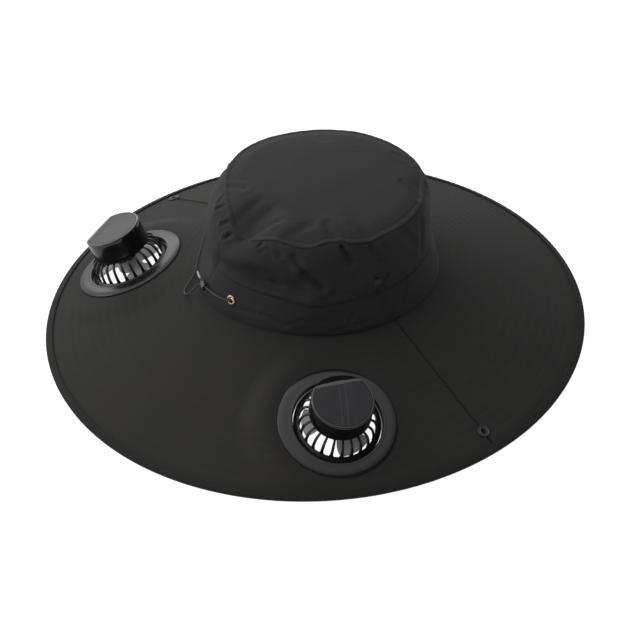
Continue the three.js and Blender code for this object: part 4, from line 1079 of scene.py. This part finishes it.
def lid_relief(angle, share):
    """Creases as lines on the disc, gathers at the edge and a soft unevenness."""
    flat = polar(share * CROWN_RADIUS * LID_SHARE, angle, 0.0)
    total = 0.55 * ripples(flat[..., 0], flat[..., 1], 45, 8) * (1 - smooth(share, 0.9, 1))
    for a, b, depth, w in LID_CREASES:
        start, stop = (polar(s * CROWN_RADIUS * LID_SHARE, np.array(float(at)), 0.0) for at, s in (a, b))
        way = stop - start
        t = np.clip(((flat - start) @ way) / (way @ way), 0, 1)
        d = np.linalg.norm(flat - start - t[..., None] * way, axis=-1)
        total = total + depth * (0.5 * bell(d - 2.1 * w, 1.3 * w) - bell(d, w))
    under = (1 - share) * LID_MM
    gathers = 0.3 * ripples(angle * WALL_MM, 0 * share, 8, 25) * bell(under, 6)
    return total + gathers - 0.5 * bell(under - STITCH_IN, 0.8)


ring_out = 1 - (1 - np.linspace(0, 1, 60)) ** 1.35
ring_in = np.linspace(1, 0, 16)
turn = np.radians([30, 60, 90, 120, 150])
HANG = 1.0 / (CROWN_RADIUS * LID_SHARE)
shares = np.concatenate([ring_out, 1 + HANG * np.sin(turn), ring_in])[None] + 0 * CROWN_ANGLES
relief_out = lid_relief(CROWN_ANGLES, ring_out[None] + 0 * CROWN_ANGLES)
relief_in = lid_relief(CROWN_ANGLES, ring_in[None] + 0 * CROWN_ANGLES) * 0.9
edge_lift = CROWN_CLOTH / 2 * (1 + np.cos(turn))[None] + relief_out[:, -1:]
lifts = np.concatenate([relief_out + CROWN_CLOTH, edge_lift, relief_in], axis=1)
lid_grid = lid_point(CROWN_ANGLES, shares, lifts)
lid_grid[:, [0, -1]] = lid_grid[:, [0, -1]].mean(axis=0, keepdims=True)
lid_uv = np.concatenate([lid_grid, lid_grid[:1]])[..., :2]
lid_shell = outwards(shell(lid_grid, True, False, lid_uv))
lid = piece("lid_cloth", lid_shell, crown_cloth, ["crown_top"], crisp=CLOTH_CRISP)
print("lid quads", len(lid.data.polygons))

# %% [markdown]
# ## Stitches
# A machine stitch shows as a short length of thread that dips into the cloth at both ends. One small solid of
# sixteen triangles is set down thousands of times along the rows, worked out as arrays: how far along the
# row each stitch lies gives its place, and the row's direction turns it.

# %% A row of stitches
STITCH_ALONG = np.array([-1.0, -0.5, 0.5, 1.0])
STITCH_WIDE = np.array([0.0, 1.0, 1.0, 0.0])
ROW_START, SEAM_FREE, FLANGE_FREE = 0.6, 3.4, 0.8


def read_off(values, run, at):
    """Each column of values at the places at along a run."""
    return np.stack([np.interp(at, run, column) for column in values.T], axis=-1)


def stitches(path, normals, pitch=3.2, length=2.3, thread=0.42, sink=0.1):
    """Stitches along a path: at each, stations t along it, of width w(t), four sides each, on
    p + t L/2 along + w r (cos a across + sin a normal) - dip t^2 normal."""
    steps = np.linalg.norm(np.diff(path, axis=0), axis=1)
    run = np.concatenate([[0], np.cumsum(steps)])
    at = np.arange(pitch / 2, run[-1] - pitch / 4, pitch)
    p, n = read_off(path, run, at), read_off(normals, run, at)
    along = read_off(path, run, at + 0.5) - read_off(path, run, at - 0.5)
    along /= np.linalg.norm(along, axis=1, keepdims=True)
    across = np.cross(along, n)
    across /= np.linalg.norm(across, axis=1, keepdims=True)
    a = np.radians([45, 135, 225, 315])
    t, w = STITCH_ALONG[:, None, None], STITCH_WIDE[:, None, None] * thread / 2
    rise = np.sin(a)[:, None] * w - (t**2) * thread * 0.6 - sink * thread
    shape = [t * length / 2 + 0 * rise, np.cos(a)[:, None] * w + 0 * rise, rise]
    axes = [v[:, None, None] for v in (along, across, n)]
    grids = p[:, None, None] + sum(s[None] * v for s, v in zip(shape, axes))
    count = len(at)
    one = np.array([[k * 4 + j, k * 4 + 4 + j, k * 4 + 4 + (j + 1) % 4, k * 4 + (j + 1) % 4]
                    for k in range(3) for j in range(4)])
    quads = (one[None] + 16 * np.arange(count)[:, None, None]).reshape(-1, 4)
    uv = np.broadcast_to(np.array([[0, 0], [1, 0], [1, 1], [0, 1.0]]), (len(quads), 4, 2))
    return outwards((grids.reshape(-1, 3), quads, uv))


def brim_path(angle, share):
    """A line over the brim's quilted face and the face's normal."""
    radius = mix(CROWN_RADIUS - CROWN_CLOTH, brim_radius(angle), share)
    path = polar(radius, angle, 0.0)
    path[:, 2] = brim_height(path[:, 0], path[:, 1]) + quilted(path, share + 0 * angle)
    return path, polar(SIN, angle, COS)


def clear_runs(clear):
    """Start and end of each stretch where clear holds."""
    edges = np.flatnonzero(np.diff(np.concatenate([[0], clear.astype(int), [0]])))
    return [(a, b) for a, b in zip(edges[::2], edges[1::2]) if b - a > 4]


def stitched_rows(side):
    """All the concentric rows of one half, broken off at the seams and under the fans' flanges."""
    made = []
    angle = side * np.linspace(ROW_START, 180 - ROW_START, 900)
    for row in range(ROW_COUNT):
        path, normals = brim_path(angle, ROW_FIRST + row * ROW_STEP)
        clear = np.abs(path[:, 1]) > SEAM_FREE
        for fan in FANS:
            clear &= from_fan(path, fan) > FAN_RADIUS + FLANGE_FREE
        made += [stitches(path[a:b], normals[a:b]) for a, b in clear_runs(clear)]
    shares = np.linspace(0.03, 0.965, 240)
    radius = mix(CROWN_RADIUS - CROWN_CLOTH, brim_radius(0.0), shares)
    seam = np.degrees(np.arcsin(SEAM_ROW / radius))
    for line in (seam, 180 - seam):
        path, normals = brim_path(side * line, shares)
        made.append(stitches(path, normals, pitch=2.8, length=2.0))
    return joined(made)


for name, side in (("front_quilting", -1), ("back_quilting", 1)):
    rows = piece(name, stitched_rows(side), thread_cloth)
    print(name, "has", len(rows.data.polygons) // 12, "stitches")

# %% Stitches on tape, band, wall and lid
TAPE_HEM, UNDER_SEAM, OVER_FOOT = 1.5, 2.4, 3.2
angle = np.linspace(-180, 180, 2000)
tape_line, tape_normals = brim_path(angle, 1.0)
inward = polar(1.0, angle, 0.0)
tape_line = tape_line - inward * (TAPE_WIDTH - TAPE_HEM) * COS
tape_line[:, 2] = brim_height(tape_line[:, 0], tape_line[:, 1]) + (GAP + TAPE) / COS + 0.02
sewn = [stitches(tape_line, tape_normals, pitch=3.0, length=2.2)]
around = np.linspace(-180, 180, 1200)
for up in (band_seam(around) - UNDER_SEAM / CROWN_HEIGHT, 0 * around + OVER_FOOT / CROWN_HEIGHT):
    line, normals = crown_point(around, up, band_relief(around, up)), polar(1.0, around, 0.1)
    sewn.append(stitches(line, normals, pitch=2.8, length=2.0, thread=0.3, sink=0.2))
lid_share = np.full(len(angle), 1 - STITCH_IN / LID_MM)
lid_line = lid_point(angle, lid_share, CROWN_CLOTH + lid_relief(angle, lid_share))
sewn.append(stitches(lid_line, polar(0.15, angle, 1.0), pitch=2.8, length=2.0, thread=0.25, sink=0.3))
piece("edge_and_crown_stitching", joined(sewn), thread_cloth)
print("stitches elsewhere:", len(PIECES["edge_and_crown_stitching"].data.polygons) // 12)

# %% [markdown]
# ## Eyelets and press studs
# Eyelets are brass rings rolled over both faces of the band. Press studs are dark metal: a ring with a spring
# socket on the brim, and a small domed cap on the crown. All are profiles turned about an axis, with rounded
# corners so that their rims catch the light.

# %% Small fittings
def wall_seat(angle, up, lift=0.0):
    """Origin and axes on the crown's wall: along, up the wall, and out."""
    def at(a, u, out=0.0):
        return crown_point(np.array(float(a)), np.array(float(u)), out)

    along = at(angle + 1, up) - at(angle - 1, up)
    rise = at(angle, up + 0.02) - at(angle, up - 0.02)
    out = np.cross(along, rise)
    out /= np.linalg.norm(out)
    along /= np.linalg.norm(along)
    return at(angle, up, lift), np.array([along, np.cross(out, along), out])


back = -CROWN_CLOTH - 2 * GAP
eyelet_profile = rounded(
    [
        (EYELET_BORE, back - EYELET_METAL), (EYELET_RADIUS - EYELET_METAL, back - EYELET_METAL),
        (EYELET_RADIUS - EYELET_METAL, back), (EYELET_BORE + EYELET_METAL, back),
        (EYELET_BORE + EYELET_METAL, 2 * GAP), (EYELET_RADIUS, 2 * GAP),
        (EYELET_RADIUS - 0.3, 2 * GAP + EYELET_METAL), (EYELET_BORE + 0.5, 2 * GAP + EYELET_METAL * 1.5),
        (EYELET_BORE, 2 * GAP + EYELET_METAL * 0.5),
    ],
    0.35,
)
for side, angle in EYELET_ANGLES.items():
    seat = wall_seat(angle, EYELET_HEIGHT / CROWN_HEIGHT)
    ring = placed(turned(eyelet_profile, 64), seat)
    piece("brass_eyelet_" + side, ring, brass, ["eyelet_" + side])

socket_profile = rounded(
    [
        (STUD_HOLE, GAP), (STUD_RADIUS, GAP), (STUD_RADIUS, 1.0), (STUD_RADIUS - 0.6, STUD_HEIGHT * 0.9),
        (STUD_RADIUS - 1.6, STUD_HEIGHT * 0.62), (STUD_HOLE + 1.0, STUD_HEIGHT * 0.75),
        (STUD_HOLE + 0.6, STUD_HEIGHT), (STUD_HOLE, STUD_HEIGHT * 0.7),
    ],
    0.35,
)
cap_profile = np.array([
    (0, GAP), (CAP_RADIUS - 0.2, GAP), (CAP_RADIUS, 0.6), (CAP_RADIUS - 0.25, 1.0), (CAP_RADIUS - 0.8, 1.15),
    (CAP_RADIUS - 1.4, 1.05), (CAP_RADIUS - 2.0, 1.25), (1.0, 1.38), (0, CAP_HEIGHT),
])
for side, angle in (("right", 0.0), ("left", 180.0)):
    radius = brim_radius(angle) - STUD_INSET
    spot = polar(radius, np.array(angle), 0.0)
    spot[2] = brim_height(spot[0], spot[1])
    socket = placed(turned(socket_profile, 56), (spot, slope_axes(angle)))
    piece("brim_socket_" + side, socket, dark_metal, ["brim_stud_" + side])
cap_up = (BAND_HEIGHT + CAP_UP) / CROWN_HEIGHT
for side, angle in (("right", -10.0), ("left", 180.0)):
    lift = float(wall_relief(np.array([[angle]]), np.array([[cap_up]]))[0, 0])
    seat = wall_seat(angle, cap_up, max(lift, float(blouse(angle, cap_up)) - 0.4))
    cap = placed(turned(cap_profile, 48, closed=False), seat)
    piece("crown_cap_" + side, cap, cap_lacquer, ["crown_stud_" + side])
print("eyelets and studs made")

# %% [markdown]
# ## The fans
# Each fan is let into a round hole: a flange lies on the brim, its collar goes through, and a ring below
# clamps the cloth. A domed guard of 24 ribs rises to a drum that holds the motor and a small solar cell on
# top. A flat facet is cut across one side of the drum. Rings are turned profiles, ribs are a rounded section
# carried along a quarter round, and the drum is a turned form lowered beyond the facet's line.

# %% Flange and clamp ring
flange_profile = rounded(
    [
        (COLLAR_RADIUS, -COLLAR_DEPTH), (COLLAR_RADIUS, GAP), (FAN_RADIUS, GAP),
        (FAN_RADIUS, FLANGE_EDGE - 0.3), (FAN_RADIUS - 1.3, FLANGE_EDGE + 0.6),
        (FAN_RADIUS - 4.2, FLANGE_LIP - 0.5),
        (COLLAR_RADIUS + 1.4, FLANGE_LIP - 0.25), (COLLAR_RADIUS + 0.4, FLANGE_LIP),
        (FAN_OPENING + 0.5, FLANGE_LIP), (FAN_OPENING, FLANGE_LIP - 1.4), (FAN_OPENING, -COLLAR_DEPTH),
    ],
    [0.4, 0.1, 0.2, 0.6, 1.5, 3.0, 0.8, 0.6, 0.8, 0.6, 0.4], 5,
)
clamp_top = -BRIM_CLOTH - GAP
clamp_low = clamp_top - CLAMP_WALL
clamp_profile = rounded(
    [
        (COLLAR_RADIUS + GAP, clamp_low), (CLAMP_RADIUS, clamp_low),
        (CLAMP_RADIUS, clamp_top), (COLLAR_RADIUS + GAP, clamp_top),
    ],
    0.5,
)


# %% Grille
def grille():
    """A sloping shelf and the drum's seat as turned rings, and ribs whose width is RIB_SHARE of the pitch,
    wider at both ends where they grow into the rings. A rib's middle line is a quarter round, radius
    D + (S - D) cos t and height foot + rise sin t, that runs in under the drum."""
    foot, rise, reach, wall = 1.0, GRILLE_HEIGHT - 1.0, GRILLE_SHELF - DRUM_RADIUS, GRILLE_WALL
    shelf = rounded(
        [
            (RIM_RADIUS, -1.0 - wall), (RIM_RADIUS, -1.0), (GRILLE_SHELF + 0.4, 1.1),
            (GRILLE_SHELF - 0.7, 1.9), (GRILLE_SHELF - 1.3, 0.6), (GRILLE_SHELF, 1.0 - wall),
        ],
        0.5,
    )
    seat = rounded(
        [
            (GRILLE_SEAT, GRILLE_HEIGHT - wall), (DRUM_RADIUS - 1.6, GRILLE_HEIGHT - wall),
            (DRUM_RADIUS - 0.6, GRILLE_HEIGHT - 0.5), (DRUM_RADIUS - 1.6, GRILLE_HEIGHT),
            (GRILLE_SEAT, GRILLE_HEIGHT),
        ],
        0.4,
    )
    share = np.linspace(0, 1, 26)[:, None]
    t = np.radians(mix(2.0, 88.0, share))
    wide = 1 + 0.6 * np.exp(-share / 0.05) + 0.3 * np.exp(-(1 - share) / 0.05)
    across, deep = rounded([(-1, -1), (1, -1), (1, 1), (-1, 1)], 0.7, 3).T
    inward = 2.2 * smooth(share, 0.55, 1.0)
    radius = DRUM_RADIUS + reach * np.cos(t) - inward
    height = foot + rise * np.sin(t)
    normal = np.stack([np.cos(t) * rise, np.sin(t) * reach], axis=-1)
    normal /= np.linalg.norm(normal, axis=-1, keepdims=True)
    lift = (deep - 1) * wall / 2
    r = radius + lift * normal[..., 0]
    z = height + lift * normal[..., 1]
    half = np.radians(180 / RIB_COUNT) * RIB_SHARE * wide * across
    made = [turned(shelf, 144), turned(seat, 144)]
    for k in range(RIB_COUNT):
        a = 2 * np.pi * k / RIB_COUNT + half
        made.append(outwards(shell(np.stack([r * np.cos(a), r * np.sin(a), z], axis=-1), loop=True)))
    return joined(made)


# %% Drum and cell
def outline(a, radius, straight):
    """Radius of a disc cut along a straight line, at angles a from the cut's middle."""
    return np.minimum(radius, straight / np.maximum(np.cos(a), 1e-6) + 1e3 * (np.cos(a) <= 0))


def facet_drop(x):
    """How far the top is lowered at x: (d + sqrt(d^2 + e^2)) / 2 tan(tilt), d beyond the facet's line."""
    d = x - FACET_OFFSET
    return (d + np.sqrt(d**2 + 0.5)) / 2 * math.tan(math.radians(FACET_TILT))


def drum_angles(radius, straight, count=192):
    """Even angles, with two more exactly at the corners of the cut."""
    corner = math.acos(straight / radius)
    a = np.linspace(-np.pi, np.pi, count, endpoint=False)
    a = a[np.abs(np.abs(a) - corner) > 0.012]
    return np.sort(np.concatenate([a, [-corner, corner]]))[:, None]


def cut_rings(a, radius, height, fan):
    """Rings of points at the angles a, turned so that their x axis points the way the facet looks."""
    t = math.radians(fan["facet"])
    turn = np.array([[math.cos(t), math.sin(t), 0], [-math.sin(t), math.cos(t), 0], [0, 0, 1]])
    grid = np.stack([radius * np.cos(a), radius * np.sin(a), height], axis=-1)
    return outwards(shell(grid @ turn, around=True))


def drum(fan):
    """Rings from the middle of the cell's bed out over the rim, down the wall and in below to the shaft's
    bore: radius, height, and how much of the facet's drop each one takes."""
    bed_radius, straight = DRUM_RADIUS - CELL_MARGIN + GAP, FACET_OFFSET - CELL_MARGIN + GAP
    a = drum_angles(bed_radius, straight)
    bed = DRUM_TOP - CELL_THICKNESS - GAP
    low = outline(a, bed_radius, straight)
    top = DRUM_RADIUS - DRUM_EDGE
    rings = [(0 * low, bed, 0), (low * 0.5, bed, 0), (low - 0.2, bed, 0), (low, bed + 0.2, 0)]
    rings += [(low, DRUM_TOP - 0.3, 0), (low + 0.05, DRUM_TOP - 0.06, 1), (low + 0.2, DRUM_TOP, 1)]
    rings += [(mix(low + 0.2, top, s), DRUM_TOP, 1) for s in (0.2, 0.45, 0.7, 1)]
    for degrees in (15, 30, 45, 60, 75, 90):
        t = math.radians(degrees)
        rings.append((top + DRUM_EDGE * math.sin(t) + 0 * low, DRUM_TOP - DRUM_EDGE * (1 - math.cos(t)), 1))
    wall_top, wall_low = DRUM_TOP - DRUM_EDGE, DRUM_SEAT + 0.7
    for s in (0.15, 0.4, 0.7, 0.9, 1):
        rings.append((DRUM_RADIUS + 0.35 * s**4 + 0 * low, mix(wall_top, wall_low, s), 1 - s))
    bottom, bore = DRUM_SEAT - MOTOR_DROP, SHAFT_RADIUS + GAP
    rings += [(DRUM_RADIUS + 0.1 + 0 * low, DRUM_SEAT + 0.2, 0), (DRUM_RADIUS - 0.4 + 0 * low, DRUM_SEAT, 0)]
    for r, z in ((MOTOR_RADIUS, DRUM_SEAT), (MOTOR_RADIUS, bottom), (bore, bottom),
                 (bore, bottom + SHAFT_REACH + GAP), (0, bottom + SHAFT_REACH + GAP)):
        rings.append((r + 0 * low, z, 0))
    radius = np.concatenate([r for r, z, w in rings], axis=1)
    height = np.array([z for r, z, w in rings])
    weight = np.array([w for r, z, w in rings])
    return cut_rings(a, radius, height - weight * facet_drop(radius * np.cos(a)), fan)


def cell(fan):
    """A thin plate with the bed's outline less the gap, and a slightly domed resin top."""
    radius, straight = DRUM_RADIUS - CELL_MARGIN + 0.2, FACET_OFFSET - CELL_MARGIN + 0.2
    a = drum_angles(radius, straight)
    low, base = outline(a, radius, straight), DRUM_TOP - CELL_THICKNESS
    rings = [(low * s, DRUM_TOP + 0.25 * (1 - s**4)) for s in (0, 0.3, 0.6, 0.8, 0.9, 0.96)]
    rings += [(low - 0.3, DRUM_TOP - 0.02), (low - 0.08, DRUM_TOP - 0.1), (low, DRUM_TOP - 0.3)]
    rings += [(low, base), (low * 0.5, base), (low * 0, base)]
    r = np.concatenate([row[0] for row in rings], axis=1)
    z = np.concatenate([row[1] + 0 * low for row in rings], axis=1)
    return cut_rings(a, r, z, fan)


# %% Rotor
def blade(start):
    """A sheet whose height is pitch(r) times its place across, thin at both edges: a closed section carried
    out from the hub to the tip."""
    sides = 28
    share = np.linspace(0, 1, 16)[:, None]
    round_trip = np.linspace(0, 2 * np.pi, sides, endpoint=False)[None]
    across, thick = -0.5 * np.cos(round_trip), np.sin(round_trip)
    thick = np.sign(thick) * np.abs(thick) ** 0.5
    radius = mix(ROTOR_HUB - BLADE_WALL, ROTOR_RADIUS, share)
    narrow = 1 - 0.12 * share**6 - 0.25 * (1 - smooth(share, 0, 0.25))
    lead = 5.0 * share**2
    angle = np.radians(start + BLADE_SPAN * across * narrow + lead - 1.5)
    pitch = mix(ROTOR_HEIGHT * 0.627, ROTOR_HEIGHT * 0.427, share)
    z = pitch * across * narrow + thick * BLADE_WALL / 2 + 0 * share
    grid = np.stack([radius * np.cos(angle), radius * np.sin(angle), z], axis=-1)
    ends = [np.repeat(grid[k:k + 1].mean(axis=1, keepdims=True), sides, axis=1) for k in (0, -1)]
    return outwards(shell(np.concatenate([ends[0], grid, ends[1]]), loop=True))


def rotor(fan):
    """Hub, shaft and blades. The shaft turns in the drum's bore."""
    seat = DRUM_SEAT - MOTOR_DROP
    top = seat - 1.0
    bottom = top - ROTOR_HEIGHT
    profile = np.array([
        (0, bottom), (2.0, bottom), (2.4, bottom + 0.5), (ROTOR_HUB - 2.4, bottom + 0.5),
        (ROTOR_HUB - 2.0, bottom), (ROTOR_HUB - 1.0, bottom + 0.1), (ROTOR_HUB - 0.25, bottom + 0.5),
        (ROTOR_HUB, bottom + 1.4), (ROTOR_HUB, top - 0.4), (ROTOR_HUB - 0.4, top), (SHAFT_RADIUS, top),
        (SHAFT_RADIUS, seat + SHAFT_REACH - 0.3), (SHAFT_RADIUS - 0.3, seat + SHAFT_REACH),
        (0, seat + SHAFT_REACH),
    ])
    made = [turned(profile, 72, closed=False)]
    for k in range(BLADE_COUNT):
        points, quads, corners = blade(fan["blade"] + 360 * k / BLADE_COUNT)
        lifted = points + np.array([0, 0, (top + bottom) / 2 - ROTOR_HEIGHT * 0.227])
        made.append((lifted, quads, corners))
    return joined(made)


# %% Both fans, put in place
for fan in FANS:
    side, seat = fan["side"], fan_seat(fan)
    origin, axes = seat
    t = math.radians(fan["angle"])
    top = origin + axes[2] * DRUM_TOP
    turn = (math.radians(fan["roll"]), SLOPE, t)
    cell_glass = solar("solar cell " + side, tuple(top), turn)
    for name, made, material, slot, node, body in (
        ("flange_ring", turned(flange_profile, 160), satin_plastic, "satin_black_plastic", "flange", "hat"),
        ("clamp", turned(clamp_profile, 128), satin_plastic, "satin_black_plastic", "clamp_ring", "hat"),
        ("guard", grille(), grille_plastic, "satin_black_plastic", "grille", "hat"),
        ("motor_drum", drum(fan), gloss_plastic, "black_gloss_plastic", "drum", "hat"),
        ("cell_plate", cell(fan), cell_glass, "solar_cell", "solar_cell", "hat"),
        ("blades", rotor(fan), grey_plastic, "grey_plastic", "rotor", "rotor_" + side),
    ):
        piece(side + "_" + name, placed(made, seat), material, ["fan_" + side + "_" + node], body)
    print("fan", side, "made at", [round(float(v), 1) for v in origin])

# %% [markdown]
# ## Floor, and a count of what was made
# The floor is a plain pale sheet under everything; it isn't part of the hat. The last cell prints how many
# pieces were made and their triangles.

# %% Floor
GLOW_LOW, GLOW_FULL = 0.4, 0.95


def floor_material():
    """Nearly white, faintly uneven. It glows by GLOW_FULL straight to the eye, and by GLOW_LOW otherwise."""
    made, tree, shader = new_material("pale table", Roughness=0.9)
    seen = add(tree, "LightPath").outputs["Is Camera Ray"]
    tree.links.new(ranged(tree, seen, 0.0, 1.0, GLOW_LOW, GLOW_FULL), shader["Emission Strength"])
    patches = noise(tree, millimetres(tree, "Object"), 0.01, 3.0)
    tone = mixed(tree, patches, (0.3, 0.3, 0.3, 1), (0.34, 0.34, 0.34, 1))
    tree.links.new(tone, shader["Base Color"])
    shader["Emission Color"].default_value = (1, 1, 1, 1)
    return made


FLOOR, FLOOR_DROP = 6.0, 0.2
corners = [(x * FLOOR, y * FLOOR, 0) for x, y in ((-1, -1), (1, -1), (1, 1), (-1, 1))]
sheet = bpy.data.meshes.new("floor")
sheet.from_pydata(corners, [], [(0, 1, 2, 3)])
sheet.materials.append(floor_material())
floor = bpy.data.objects.new("floor", sheet)
floor.location.z = -FLOOR_DROP * MM
bpy.context.scene.collection.objects.link(floor)
triangles = sum(sum(len(p.vertices) - 2 for p in made.data.polygons) for made in PIECES.values())
print("pieces:", len(PIECES), "triangles before modifiers:", triangles)
